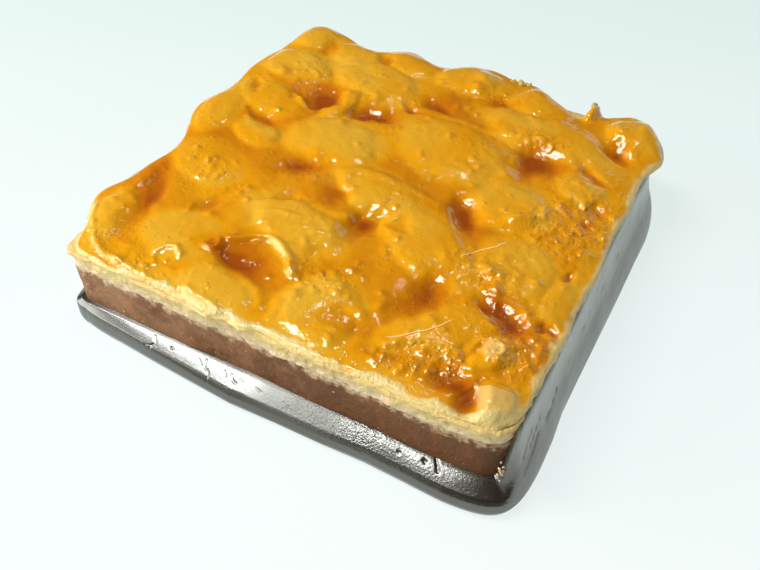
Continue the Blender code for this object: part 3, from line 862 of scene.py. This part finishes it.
def topping_fields(x, y):
    """The topping's level, and the depth of glaze, stain, beading, chips and tone on it."""
    moved_x = x + BROAD_DRIFT * ripple(x, y, 1.3) + FINE_DRIFT * ripple(y, x, 3.1)
    moved_y = y + BROAD_DRIFT * ripple(y + 9, x - 4, 1.3) + FINE_DRIFT * ripple(x + 5, y + 3, 2.9)
    surface, depth = flake_surface(x, y, moved_x, moved_y)
    drift_x, drift_y = drifts(x, y, PIT_DRIFT)
    sunk, stain = pits_and_stains(moved_x + drift_x, moved_y + drift_y)
    drift_x, drift_y = drifts(x, y, TONE_DRIFT)
    tone = flake_tones(x + drift_x, y + drift_y)
    beads = np.zeros_like(x)
    for reach, strength in ovals(x, y, BEADED_PATCHES):
        beads = np.maximum(beads, strength * (1.0 - ease(0.5, 1.3, reach)))
    chips = np.zeros_like(x)
    for height, *corners in CHIPS:
        gap = inside_distance(moved_x, moved_y, corners) + uneven(x, y, CHIP_DRIFT)
        surface += height * ease(-0.15, 0.35, gap)
        chips = np.maximum(chips, ease(-0.1, 0.5, gap))
    drift_x, drift_y = drifts(x, y, RIDGE_DRIFT)
    for ridge in RIDGES:
        crest = line_marks(x + drift_x, y + drift_y, (ridge,))
        surface += crest
        # Raised strands are paler: pale crests of flake edges, and a painted highlight along them
        tone = np.maximum(tone, CREST_TONE_AND_HIGHLIGHT * crest)
    for reach, height in ovals(x, y, DABS + scattered_drops()):
        surface += height * np.exp(-reach ** 2)
    clustered = ease(0.0, 0.6, grain(x, y, 5.5, 44))
    surface += uneven(x, y, BROAD_RELIEF) + clustered * uneven(x, y, CLUSTERED_RELIEF)
    surface += uneven(x, y, FINE_RELIEF) + beads * uneven(x, y, BEAD_RELIEF)
    above_floor = surface - PIT_SHARE * sunk - PIT_FLOOR
    level = GLAZE_BED + PIT_FLOOR + PIT_FLOOR_BLEND * np.logaddexp(0.0, above_floor / PIT_FLOOR_BLEND)
    return level, depth, stain, beads, chips, tone


def lobe_reach(side, lobes):
    """How far the topping's edge stands out at a place along one side."""
    return sum(size * np.exp(-((side - centre) / half_width) ** 2) for centre, size, half_width in lobes)


def squared(s, t, half_width, half_depth, power):
    """Map the unit square to a rectangle with rounded corners."""
    ring = np.maximum(np.abs(s), np.abs(t))
    blend = (np.abs(s) ** power + np.abs(t) ** power) ** (1.0 / power)
    keep = np.where(blend > 0, ring / np.maximum(blend, 1e-9), 1.0)
    return half_width * s * keep, half_depth * t * keep


def lobed(s, t):
    """Map the unit square to the topping's lobed outline."""
    power = GLAZE_CORNER_POWER + GLAZE_SHARP_CORNER * ease(0.5, 1.0, -s) * ease(0.5, 1.0, -t)
    x, y = squared(s, t, GLAZE_HALF_WIDTH, GLAZE_HALF_DEPTH, power)
    x = x + GLAZE_CENTRE
    left = lobe_reach(y, LEFT_LOBES) * ease(LOBES_START, 1.0, -s)
    right = lobe_reach(y, RIGHT_LOBES) * ease(LOBES_START, 1.0, s)
    back = lobe_reach(x, BACK_LOBES) * ease(LOBES_START, 1.0, t)
    front = lobe_reach(x, FRONT_LOBES) * ease(LOBES_START, 1.0, -t)
    return x + right - left, y + back - front


def block_outline(s, t, inset=0.0):
    """Outline of the biscuit block, drawn in by an inset, sharpest at its front left corner."""
    power = BLOCK_CORNER_POWER + BLOCK_SHARP_CORNER * ease(0.5, 1.0, -s) * ease(0.5, 1.0, -t)
    half_width = (BLOCK_RIGHT - BLOCK_LEFT) / 2 - inset
    x, y = squared(s, t, half_width, BLOCK_HALF_DEPTH - inset, power)
    return x + (BLOCK_LEFT + BLOCK_RIGHT) / 2, y


def crumbly_outline(s, t, inset, shown, rough):
    """Outline of a layer drawn in by an inset, whose side wanders and is rough where it shows."""
    x, y = block_outline(s, t, inset)
    wander = SIDE_WANDER * (0.6 * ripple(x + 15, y - 15, EDGE_WANDER) + rough)
    drift = 1.0 + shown * wander / BLOCK_HALF_DEPTH
    return x * drift, y * drift


def way_round(s, t):
    """Place along the block's outline, in millimetres."""
    return np.arctan2(t, s) * MEAN_RADIUS


def foot_outline(s, t):
    """Widest outline of the foot."""
    sharper = FOOT_LEFT_CORNER * ease(0.5, 1.0, -s) + FOOT_RIGHT_CORNER * ease(0.5, 1.0, s)
    power = FOOT_CORNER_POWER + sharper * ease(0.5, 1.0, -t)
    u, v = squared(s, t, 1.0, 1.0, power)
    place_x = FOOT_SPAN * u
    place_y = FOOT_SPAN * v
    side = np.where(u > 0, read_table(place_y, FOOT_RIGHT), read_table(place_y, FOOT_LEFT))
    end = np.where(v > 0, read_table(place_x, FOOT_BACK), read_table(place_x, FOOT_FRONT))
    return u * side, v * end


def side_climb(s, t):
    """Where the chocolate runs up the right side: 0 on the plain ledge, 1 at full height."""
    front_end = ease(CLIMB_FRONT_STARTS, CLIMB_FRONT_FULL, t)
    back_end = 1.0 - CLIMB_BACK_FALL * ease(CLIMB_BACK_STARTS, 1.0, t)
    return ease(CLIMB_CORNER, 1.0, s) * front_end * back_end


def foot_profile(s, t, rise):
    """Place of the chocolate foot's skin, from under it, round the ledge and down to the bed."""
    reach = smooth_table(rise, FOOT_PROFILE, 1)
    level = smooth_table(rise, FOOT_PROFILE, 2)
    right_level = smooth_table(rise, FOOT_PROFILE, 3)
    drawn_in = INWARD_SCALE * np.clip(-reach, 0.0, INWARD_LIMIT)
    inner_x, inner_y = block_outline(s, t, drawn_in - GAP)
    outer_x, outer_y = foot_outline(s, t)
    x = inner_x + (outer_x - inner_x) * np.maximum(reach, 0.0)
    y = inner_y + (outer_y - inner_y) * np.maximum(reach, 0.0)
    ledge = np.hypot(outer_x - inner_x, outer_y - inner_y)
    narrow = np.clip(1.0 - ledge / NARROW_LEDGE, 0.0, 1.0)
    level = level + narrow * (LIP_TOP - level) * stretch(rise, *FOOT_LEDGE)
    climb = side_climb(s, t)
    raised = level + (right_level - level) * climb
    upper_side = stretch(rise, *FOOT_UPPER_SIDE)
    drift_x, drift_y = drifts(x, y, MARK_DRIFT)
    dip = line_marks(x + drift_x, y + drift_y, LEDGE_MARKS, 0.30, 0.75) + uneven(x, y, LEDGE_RELIEF)
    raised = raised - dip * upper_side * (1.0 - climb)
    press = line_marks(y, raised, SIDE_MARKS) + uneven(y, raised, SIDE_RELIEF)
    press = press + uneven(y, raised * 2.0, SIDE_STREAKS)
    x = x - press * climb * upper_side
    return x, y, np.maximum(raised, 0.0)


def biscuit_profile(s, t, rise):
    """Place of the biscuit's skin: flat below, crumbly at the side, flat above."""
    bottom = BED_TOP + GAP
    level = bottom + (BISCUIT_TOP + GAP - bottom) * read_table(rise, BISCUIT_RISE)
    shown = stretch(rise, *BISCUIT_SIDE)
    rough = uneven(way_round(s, t), level, BISCUIT_RELIEF)
    return *crumbly_outline(s, t, read_table(rise, BISCUIT_INSETS), shown, rough), level


def cream_profile(s, t, rise):
    """Place of the pale almond layer's skin, with an uneven lower edge over the biscuit."""
    along = way_round(s, t)
    bottom = BISCUIT_TOP - CREAM_HANGS + uneven(along, along * 0, CREAM_EDGE)
    top = SHOULDER_LEVEL - CREAM_CLEARANCE
    level = bottom + (top - bottom) * read_table(rise, CREAM_RISE)
    shown = stretch(rise, *CREAM_SIDE)
    rough = uneven(along, level, CREAM_RELIEF)
    return *crumbly_outline(s, t, read_table(rise, CREAM_INSETS), shown, rough), level


def deselect_all():
    """Leave nothing selected."""
    bpy.ops.object.select_all(action="DESELECT")


def sheet_to_shape(name, grid):
    """Add a flat grid from -1 to 1 each way, to be shaped afterwards."""
    deselect_all()
    bpy.ops.mesh.primitive_grid_add(x_subdivisions=grid[0], y_subdivisions=grid[1], size=2)
    piece = bpy.context.object
    piece.name = name
    piece.data.name = name
    return piece


def points_of(piece):
    """The piece's points as an array."""
    flat = np.empty(len(piece.data.vertices) * 3)
    piece.data.vertices.foreach_get("co", flat)
    return flat.reshape(-1, 3)


def move_points(piece, x, y, z):
    """Give the piece's points their places, in millimetres."""
    places = np.column_stack([x, y, z]) * MM
    piece.data.vertices.foreach_set("co", places.ravel())
    piece.data.update()


def store(piece, name, values):
    """Store one value per point on the mesh for its material."""
    layer = piece.data.attributes.new(name, "FLOAT", "POINT")
    layer.data.foreach_set("value", values.astype(np.float32))


def store_height(piece, margin):
    """Store how far up the profile each point is, leaving out a margin at both ends."""
    rise = (points_of(piece)[:, 1] + 1.0) / 2.0
    store(piece, "side_height", np.clip((rise - margin) / (1.0 - 2.0 * margin), 0.0, 1.0))


def close_seams(threshold):
    """Merge the active piece's seam, within a threshold in metres, and fill its open ends."""
    bpy.ops.object.mode_set(mode="EDIT")
    bpy.ops.mesh.select_all(action="SELECT")
    bpy.ops.mesh.remove_doubles(threshold=threshold)
    bpy.ops.mesh.select_all(action="DESELECT")
    bpy.ops.mesh.select_mode(type="EDGE")
    bpy.ops.mesh.select_non_manifold()
    bpy.ops.mesh.fill_holes(sides=0)
    bpy.ops.object.mode_set(mode="OBJECT")


def wrap_round(piece, profile_point, corners=EVEN_CORNERS):
    """Wrap a grid round the block: columns run round it and rows run up the profile."""
    points = points_of(piece)
    turn = np.interp((points[:, 0] + 1.0) / 2.0, corners, EVEN_CORNERS)
    rise = (points[:, 1] + 1.0) / 2.0
    side = np.clip(np.floor(turn * 4.0), 0, 3)
    along = (turn * 4.0 - side) * 2.0 - 1.0
    s = np.select([side == 0, side == 1, side == 2], [along, 1.0, -along], -1.0)
    t = np.select([side == 0, side == 1, side == 2], [-1.0, along, 1.0], -along)
    move_points(piece, *profile_point(s, t, rise))
    close_seams(0.00001)


def finish_piece(piece, material, node):
    """Smooth and colour a piece, and put it in the place of its solid, if it has one."""
    deselect_all()
    piece.select_set(True)
    bpy.context.view_layer.objects.active = piece
    bpy.ops.object.mode_set(mode="EDIT")
    bpy.ops.mesh.select_all(action="SELECT")
    bpy.ops.mesh.normals_make_consistent(inside=False)
    bpy.ops.object.mode_set(mode="OBJECT")
    bpy.ops.object.shade_smooth()
    piece.data.materials.clear()
    piece.data.materials.append(material)
    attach(piece, "root")
    if node:
        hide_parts(node)


def chocolate_material(colour):
    """Glossy dark chocolate: grainy in patches, dull mid-front, and greyer high on the right side from
    bloom and a painted reflection of the table.
    """
    material, surface, where = new_material("chocolate_gloss")
    across = part_of(where, "X")
    upward = part_of(where, "Z")
    broad = mottle(where, 90.0, 3.0)
    fine = mottle(where, 2600.0, 3.0, 0.6)
    patches = mottle(where, 160.0, 2.0).between(0.45, 0.62)
    # Along the front, in metres from the middle: grainier to the right, and dullest just there
    grainy = across.between(-0.010, 0.004) * (0.30 + patches * 0.70)
    height = broad * 0.3 + fine * (grainy * 0.30 + 0.03)
    dull = across.between(-0.007, 0.001) - across.between(0.008, 0.015)
    # Paler high on the right side: greyish bloom, and a painted reflection of the bright table
    bloom_and_sheen = across.between(0.030, 0.0345) * upward.between(0.0055, 0.0120)
    shade = tint(broad, scaled(colour, 0.8), scaled(colour, 1.25))
    connect(
        surface,
        Base_Color=tint(bloom_and_sheen * 0.85, shade, CHOCOLATE_BLOOM_AND_SHEEN),
        Roughness=0.24 + dull * 0.20,
        Normal=dent(height, 0.6, 0.0004),
        IOR=2.2,
        Specular_Tint=CHOCOLATE_SHINE,
    )
    return material


def biscuit_material(light, dark, toast, flour):
    """Matt baked biscuit: mottled brown sides with a floury top edge and pale specks, and painted shade
    towards the right.
    """
    material, surface, where = new_material("baked_biscuit")
    broad = mottle(where, 120.0, 4.0, 0.6)
    smear = mottle(where, 260.0, 4.0, 0.6, (1.0, 1.0, 0.25))
    crumb = mottle(where, 900.0, 5.0, 0.65)
    speck = mottle(where, 1300.0, 2.0).between(0.68, 0.76)
    height = attribute(where, "side_height")
    edge = (height + (crumb - 0.5) * 0.75 + (broad - 0.5) * 0.30).between(0.80, 1.04)
    # Painted shade: the side grows darker towards the right, away from the light on the left
    painted_shade_to_right = part_of(where, "X").between(-0.030, 0.036) * 0.24
    share = broad * 0.45 + smear * 0.30 + crumb * 0.25 + height * 0.10 - painted_shade_to_right
    shade = tint(share.between(0.36, 0.66), dark, light)
    toasted = smear.between(0.52, 0.66) * height.between(0.1, 0.5)
    shade = tint(toasted * 0.55, shade, toast)
    shade = tint(edge * 0.7, shade, flour)
    shade = tint(speck * 0.7, shade, flour)
    normal = dent(crumb, 0.7, 0.0004)
    connect(surface, Base_Color=shade, Roughness=0.62, Normal=normal, IOR=1.3)
    return material


def cream_material(pale, flour, amber):
    """Pale almond layer: creamy above, floury below, with a little amber soaked in along the top."""
    material, surface, where = new_material("pale_almond")
    broad = mottle(where, 130.0, 4.0, 0.6)
    crumb = mottle(where, 800.0, 5.0, 0.65)
    fluff = mottle(where, 2200.0, 3.0, 0.6)
    height = attribute(where, "side_height")
    soaked = (height + (broad - 0.5) * 0.9 + (crumb - 0.5) * 0.4).between(0.50, 1.05)
    creamy = (height + (crumb - 0.5) * 0.9 + (broad - 0.5) * 0.5).between(0.1, 0.8)
    shade = tint(creamy, flour, pale)
    shade = tint(fluff.between(0.55, 0.75) * 0.5, shade, flour)
    shade = tint(soaked * 0.18, shade, amber)
    normal = dent(crumb + fluff * 0.35, 0.9, 0.0005)
    connect(surface, Base_Color=shade, Roughness=0.55 - soaked * 0.25, Normal=normal)
    return material


def topping_material(pale, light, ochre, amber, burnt):
    """Sugar glaze over almond flakes: light on the flakes, amber in the pools, burnt in the pits."""
    material, surface, where = new_material("almond_glaze_gloss")
    broad = mottle(where, 60.0, 3.0, 0.5)
    cloud = mottle(where, 220.0, 4.0, 0.6)
    depth, rim, beads, chips = (attribute(where, name) for name in ("glaze_depth", "rim", "beads", "chips"))
    share = depth + (broad - 0.5) * 0.30 + (cloud - 0.5) * 0.14
    shade = ramp(share, ((0.02, light), (0.22, ochre), (0.45, amber), (0.66, burnt)))
    shade = tint(chips * 0.5, shade, pale)
    paler = (rim + (cloud - 0.5) * 0.5).between(0.25, 0.95)
    fine = mottle(where, 700.0, 3.0, 0.6)
    drops = droplets(where, 850.0, 0.45) + droplets(where, 1500.0, 0.5) * 0.5
    fluff = mottle(where, 1500.0, 4.0, 0.65) * rim
    patchy = mottle(where, 150.0, 2.0).between(0.50, 0.62)
    shards = mottle(where, 1100.0, 3.0, 0.6) * depth.between(0.34, 0.60)
    height = fine * (beads * 0.6 + 0.45) + drops * (beads * 0.70 + patchy * 0.25 + 0.08)
    height = height + fluff * 1.2 + shards * 0.25
    connect(
        surface,
        Base_Color=tint(paler, shade, pale),
        Roughness=0.08 + chips * 0.22 + rim * 0.25,
        Normal=dent(height, 0.8, 0.00035),
        IOR=1.62,
        Specular_Tint=GLAZE_SHINE,
        Coat_Weight=0.2,
        Coat_Roughness=0.04,
        Coat_IOR=1.6,
    )
    return material


def thread_material(colour):
    """Pale golden sugar with a painted glow: it gives off light of its own though it is no lamp."""
    material, surface, where = new_material("spun_sugar")
    cloud = mottle(where, 400.0, 2.0)
    connect(
        surface,
        Base_Color=tint(cloud, scaled(colour, 0.7), colour),
        Roughness=0.4,
        # Painted glow: the threads emit a golden light
        Emission_Strength=0.45,
        Emission_Color=THREAD_PAINTED_GLOW,
    )
    return material


def crumb_material(name, colour):
    """Dry broken crumb."""
    material, surface, where = new_material(name)
    broad = mottle(where, 900.0, 4.0, 0.6)
    shade = tint(broad.between(0.3, 0.7), scaled(colour, 0.6), colour)
    connect(surface, Base_Color=shade, Roughness=0.6, Normal=dent(broad, 0.6, 0.0002))
    return material


def table_material():
    """Pale table that glows a little, as one lit from all sides does, and greyer towards the back as
    painted shade.
    """
    material, surface, where = new_material("pale_table")
    # Painted shade: the glow dims towards the back
    inputs = {0: where, 1: TABLE_BACKWARD}
    far = where.node("ShaderNodeVectorMath", {"operation": "DOT_PRODUCT"}, inputs, 1)
    connect(
        surface,
        Emission_Color=tint(far.between(*TABLE_FADE), TABLE_GLOW_NEAR, TABLE_SHADED_GLOW_FAR),
        Emission_Strength=1.0,
        Base_Color=(0.16, 0.16, 0.16, 1.0),
        Roughness=0.8,
        Specular_IOR_Level=0.0,
    )
    return material


def shape_topping(piece):
    """Turn the flat grid and its hanging rings into the topping, with values for its colours."""
    points = points_of(piece)
    angle = EDGE_CROWDING * math.pi / 2
    s = np.sin(angle * points[:, 0]) / math.sin(angle)
    t = np.sin(angle * points[:, 1]) / math.sin(angle)
    ring_number = np.round(-points[:, 2])
    down = np.clip(ring_number / RIM_RINGS, 0.0, 1.0)
    x, y = lobed(s, t)
    level, depth, stain, beads, chips, tone = topping_fields(x, y)
    ring = np.maximum(np.abs(s), np.abs(t))
    inward = np.clip((1.0 - ring) * GLAZE_HALF_WIDTH / SHOULDER, 0.0, 1.0)
    rounding = np.sqrt(1.0 - (1.0 - inward) ** 2)
    z = SHOULDER_LEVEL + (level - SHOULDER_LEVEL) * rounding
    block_x, block_y = block_outline(s, t)
    overhang = np.maximum(s * (x - block_x), t * (y - block_y))
    tuck = (RIM_CLEARANCE + RIM_TUCK) * ease(0.2, 1.4, overhang) - RIM_TUCK
    tucked_x, tucked_y = block_outline(s, t, -tuck)
    droop = DROOP * ease(DROOP_STARTS, DROOP_FULL, overhang) * read_table(down, RIM_DROOPS)
    side = (SHOULDER_LEVEL - GLAZE_UNDERSIDE) * read_table(down, RIM_SETTLES)
    z = np.where(ring_number > 0, SHOULDER_LEVEL - side - droop, z)
    swell = RIM_BULGE * (0.25 + 0.75 * ease(0.3, 1.2, overhang)) * read_table(down, RIM_SWELLS)
    lumpy = uneven(way_round(s, t), ring_number * 0.25, RIM_LUMPS)
    swell = swell + lumpy * ease(0.0, 1.0, ring_number) * (1.0 - ease(0.6, 0.9, down))
    inside = read_table(down, RIM_TURNS_IN)
    x = x + swell * s + (tucked_x - x) * inside
    y = y + swell * t + (tucked_y - y) * inside
    centre = ring_number > RIM_RINGS
    x = np.where(centre, 0.0, x)
    y = np.where(centre, 0.0, y)
    z = np.where(centre, GLAZE_UNDERSIDE, z)
    move_points(piece, x, y, z)
    pooled = POOL_LEAST + POOL_DEPTH * ease(0.0, 1.5, depth) + POOL_STAIN * stain - POOL_TONE * tone
    pooled = pooled + uneven(x, y, POOL_RELIEF)
    pooled = pooled - POOL_FRONT * ease(0.4, 1.0, -t) * (1.0 - ease(0.3, 1.0, inward))
    ragged_rim = 1.0 - ease(0.02, 0.42, inward + uneven(x, y, RIM_RAGS))
    pale_sides = np.maximum(ease(0.4, 1.0, -t), 0.9 * ease(0.7, 1.0, s))
    store(piece, "glaze_depth", np.clip(pooled, 0.0, 1.0))
    store(piece, "rim", ragged_rim * (pale_sides * 0.85 + 0.15))
    store(piece, "chips", chips * (1.0 - down))
    store(piece, "beads", beads * (1.0 - down))


def thread_along(points):
    """Add a thin tube along points that lie on the topping."""
    piece = sheet_to_shape("thread", THREAD_GRID)
    spots = points_of(piece)
    last = len(points) - 1
    along = (spots[:, 0] + 1.0) / 2.0 * last
    angle = spots[:, 1] * math.pi
    spine_x, spine_y = zip(*points)
    x = np.interp(along, range(len(points)), spine_x) + THREAD_WAVE * np.sin(along * 3.1)
    y = np.interp(along, range(len(points)), spine_y) + THREAD_WAVE * np.cos(along * 2.7)
    z = topping_fields(x, y)[0] + THREAD_RADIUS * THREAD_LIFT
    run_x = spine_x[-1] - spine_x[0]
    run_y = spine_y[-1] - spine_y[0]
    length = math.hypot(run_x, run_y)
    thick = THREAD_RADIUS * np.sqrt(np.clip(1.02 - (2.0 * along / last - 1.0) ** 8, 0.02, 1.0))
    x = x - run_y / length * thick * np.cos(angle)
    y = y + run_x / length * thick * np.cos(angle)
    move_points(piece, x, y, z + thick * np.sin(angle))
    close_seams(0.000005)
    return piece


def make_crumb(x, y, z, size, seed):
    """Add one broken crumb at its place."""
    deselect_all()
    bpy.ops.mesh.primitive_ico_sphere_add(subdivisions=3, radius=1.0)
    piece = bpy.context.object
    points = points_of(piece)
    lumps = 0.35 * grain(points[:, 0] * 3 + seed, points[:, 1] * 3 + points[:, 2] * 2, 1.4, 80 + seed)
    lumps += 0.15 * grain(points[:, 0] * 3 - seed, points[:, 2] * 3 + points[:, 1], 0.6, 90 + seed)
    flat = points * (1.0 + lumps)[:, None] * size
    turn = seed * 1.3
    spun_x = flat[:, 0] * math.cos(turn) - flat[:, 1] * 0.7 * math.sin(turn)
    spun_y = flat[:, 0] * math.sin(turn) + flat[:, 1] * 0.7 * math.cos(turn)
    move_points(piece, x + spun_x, y + spun_y, z + flat[:, 2] * 0.6)
    return piece


def join_pieces(pieces, name):
    """Join pieces into one with a name."""
    deselect_all()
    for piece in pieces:
        piece.select_set(True)
    bpy.context.view_layer.objects.active = pieces[0]
    bpy.ops.object.join()
    joined = bpy.context.object
    joined.name = name
    joined.data.name = name
    return joined


def set_sky():
    """Dim even surroundings."""
    world = bpy.data.worlds.new("studio_room")
    world.use_nodes = True
    bpy.context.scene.world = world
    background = world.node_tree.nodes["Background"]
    background.inputs["Color"].default_value = (1.0, 1.0, 1.0, 1.0)
    background.inputs["Strength"].default_value = SKY_STRENGTH


def add_box_light(name, direction, distance, size, power, roll=0.0):
    """Add a soft box that faces the florentine from a direction, rolled about it by some degrees."""
    deselect_all()
    away = Vector(direction).normalized()
    bpy.ops.object.light_add(type="AREA", location=away * distance)
    lamp = bpy.context.object
    lamp.name = name
    rolled = Quaternion((0.0, 0.0, 1.0), math.radians(roll))
    lamp.rotation_euler = (away.to_track_quat("Z", "Y") @ rolled).to_euler()
    lamp.data.shape = "RECTANGLE"
    lamp.data.size = size[0]
    lamp.data.size_y = size[1]
    lamp.data.energy = power


def set_camera():
    """Place the photograph's camera."""
    deselect_all()
    bpy.ops.object.camera_add()
    camera = bpy.context.object
    camera.name = "photo_camera"
    backward = -Vector(CAMERA_FORWARD).normalized()
    right = Vector(CAMERA_UP).cross(backward).normalized()
    up = backward.cross(right)
    turned = Matrix((right, up, backward)).transposed().to_4x4()
    camera.matrix_world = Matrix.Translation(CAMERA_PLACE) @ turned
    camera.data.lens = CAMERA_LENS
    camera.data.sensor_width = CAMERA_SENSOR
    camera.data.sensor_fit = "HORIZONTAL"
    camera.data.clip_start = CAMERA_NEAR
    bpy.context.scene.camera = camera


def colour_setting(name, description, default):
    """A colour that the sidebar can change."""
    return FloatVectorProperty(
        name=name,
        description=description,
        default=default,
        subtype="COLOR",
        size=3,
    )


class FlorentineLooks(bpy.types.PropertyGroup):
    """Sizes and colours of the finished florentine."""

    topping_cells: IntProperty(
        name="Topping Cells",
        description="Cells across the topping's surface",
        default=270,
        min=40,
        max=300,
    )
    chocolate: colour_setting("Chocolate", "Colour of the dark foot", (0.022, 0.013, 0.008))
    biscuit_light: colour_setting("Light Biscuit", "Palest brown of its side", (0.40, 0.205, 0.095))
    biscuit_dark: colour_setting("Dark Biscuit", "Darkest brown of its side", (0.17, 0.070, 0.026))
    biscuit_toast: colour_setting("Toasted Biscuit", "Brown of its toasted smears", (0.34, 0.12, 0.045))
    flour: colour_setting("Flour", "Colour of floury crumbs", (0.87, 0.67, 0.40))
    pale_almond: colour_setting("Pale Almond", "Colour of the pale layer", (0.86, 0.64, 0.23))
    flake: colour_setting("Flake", "Colour of flakes just under the glaze", (0.83, 0.44, 0.028))
    ochre: colour_setting("Ochre", "Colour of a thin glaze", (0.82, 0.345, 0.003))
    amber: colour_setting("Amber", "Colour of a deep glaze", (0.60, 0.175, 0.001))
    burnt: colour_setting("Burnt Sugar", "Colour in the pits", (0.36, 0.072, 0.002))
    sugar: colour_setting("Spun Sugar", "Colour of the fine threads", (1.0, 0.84, 0.46))
    almond_skin: colour_setting("Almond Skin", "Colour of the back edge's crumbs", (0.78, 0.64, 0.16))
    lamp_power: FloatProperty(
        name="Lamp Power",
        description="Strength of the soft box above",
        default=1.45,
        min=0.0,
        unit="POWER",
    )


class FLORENTINE_OT_foot(bpy.types.Operator):
    """Make the glossy chocolate foot"""

    bl_idname = "florentine.foot"
    bl_label = "Chocolate Foot"

    def execute(self, context):
        looks = context.scene.florentine
        piece = sheet_to_shape("chocolate_foot_skin", FOOT_GRID)
        wrap_round(piece, foot_profile, FOOT_CORNERS)
        finish_piece(piece, chocolate_material(looks.chocolate), "chocolate_base")
        return {"FINISHED"}


class FLORENTINE_OT_biscuit(bpy.types.Operator):
    """Make the biscuit slab with its crumbly side"""

    bl_idname = "florentine.biscuit"
    bl_label = "Biscuit Slab"

    def execute(self, context):
        looks = context.scene.florentine
        piece = sheet_to_shape("biscuit_slab", BISCUIT_GRID)
        store_height(piece, 0.1)
        wrap_round(piece, biscuit_profile)
        colours = (looks.biscuit_light, looks.biscuit_dark, looks.biscuit_toast, looks.flour)
        finish_piece(piece, biscuit_material(*colours), "biscuit")
        return {"FINISHED"}


class FLORENTINE_OT_cream(bpy.types.Operator):
    """Make the pale almond layer"""

    bl_idname = "florentine.cream"
    bl_label = "Pale Almond Layer"

    def execute(self, context):
        looks = context.scene.florentine
        piece = sheet_to_shape("pale_almond_layer", CREAM_GRID)
        store_height(piece, 0.15)
        wrap_round(piece, cream_profile)
        colours = (looks.pale_almond, looks.flour, looks.flake)
        finish_piece(piece, cream_material(*colours), "almond_layer")
        return {"FINISHED"}


class FLORENTINE_OT_topping(bpy.types.Operator):
    """Make the glazed almond topping"""

    bl_idname = "florentine.topping"
    bl_label = "Almond Topping"

    def execute(self, context):
        looks = context.scene.florentine
        piece = sheet_to_shape("glazed_almonds", (looks.topping_cells, looks.topping_cells))
        bpy.ops.object.mode_set(mode="EDIT")
        bpy.ops.mesh.select_mode(type="EDGE")
        bpy.ops.mesh.select_all(action="DESELECT")
        bpy.ops.mesh.select_non_manifold()
        for _ in range(RIM_RINGS + 1):
            bpy.ops.mesh.extrude_region_move(TRANSFORM_OT_translate={"value": (0.0, 0.0, -1.0)})
        bpy.ops.mesh.merge(type="COLLAPSE")
        bpy.ops.object.mode_set(mode="OBJECT")
        shape_topping(piece)
        colours = (looks.pale_almond, looks.flake, looks.ochre, looks.amber, looks.burnt)
        finish_piece(piece, topping_material(*colours), "almond_topping")
        return {"FINISHED"}


class FLORENTINE_OT_threads(bpy.types.Operator):
    """Lay the fine sugar threads over the topping"""

    bl_idname = "florentine.threads"
    bl_label = "Sugar Threads"

    def execute(self, context):
        looks = context.scene.florentine
        piece = join_pieces([thread_along(points) for points in THREADS], "sugar_threads")
        finish_piece(piece, thread_material(looks.sugar), None)
        return {"FINISHED"}


class FLORENTINE_OT_crumbs(bpy.types.Operator):
    """Scatter the few loose crumbs that cling to the edges"""

    bl_idname = "florentine.crumbs"
    bl_label = "Loose Crumbs"

    def execute(self, context):
        looks = context.scene.florentine
        kinds = (
            ("flour_crumbs", looks.flour, "biscuit"),
            ("skin_crumbs", looks.almond_skin, "almond_glaze"),
        )
        for kind, (name, colour, slot) in enumerate(kinds):
            pieces = []
            for seed, (x, y, z, size, sort) in enumerate(CRUMBS):
                if sort == kind:
                    pieces.append(make_crumb(x, y, z, size, seed))
            finish_piece(join_pieces(pieces, name), crumb_material(name, colour), None)
        return {"FINISHED"}


class FLORENTINE_OT_stage(bpy.types.Operator):
    """Set the pale table, the soft lights and the camera"""

    bl_idname = "florentine.stage"
    bl_label = "Table, Lights and Camera"

    def execute(self, context):
        looks = context.scene.florentine
        deselect_all()
        bpy.ops.mesh.primitive_plane_add(size=TABLE_SIZE)
        floor = bpy.context.object
        floor.name = "table_top"
        floor.data.materials.append(table_material())
        set_sky()
        add_box_light("soft_box_above", (-0.38, -0.27, 0.88), 0.45, (0.23, 0.07), looks.lamp_power, 50.0)
        for light in SIDE_LIGHTS:
            add_box_light(*light)
        set_camera()
        context.scene.view_settings.view_transform = "Standard"
        return {"FINISHED"}


class FLORENTINE_PT_panel(bpy.types.Panel):
    """Sidebar panel that lists the florentine's pieces and looks"""

    bl_label = "Florentine"
    bl_idname = "FLORENTINE_PT_panel"
    bl_space_type = "VIEW_3D"
    bl_region_type = "UI"
    bl_category = "Florentine"

    def draw(self, context):
        looks = context.scene.florentine
        for name in FlorentineLooks.__annotations__:
            self.layout.prop(looks, name)
        for step in STEPS:
            self.layout.operator(step.bl_idname)


STEPS = (
    FLORENTINE_OT_foot,
    FLORENTINE_OT_biscuit,
    FLORENTINE_OT_cream,
    FLORENTINE_OT_topping,
    FLORENTINE_OT_threads,
    FLORENTINE_OT_crumbs,
    FLORENTINE_OT_stage,
)
CLASSES = (FlorentineLooks, *STEPS, FLORENTINE_PT_panel)


def register():
    """Register the add-on's classes and its settings."""
    for item in CLASSES:
        bpy.utils.register_class(item)
    bpy.types.Scene.florentine = PointerProperty(type=FlorentineLooks)


def unregister():
    """Take the add-on's classes and settings away."""
    del bpy.types.Scene.florentine
    for item in reversed(CLASSES):
        bpy.utils.unregister_class(item)


def main():
    """Build the florentine."""
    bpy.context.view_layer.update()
    register()
    bpy.ops.florentine.foot()
    bpy.ops.florentine.biscuit()
    bpy.ops.florentine.cream()
    bpy.ops.florentine.topping()
    bpy.ops.florentine.threads()
    bpy.ops.florentine.crumbs()
    bpy.ops.florentine.stage()


if __name__ == "__main__":
    main()
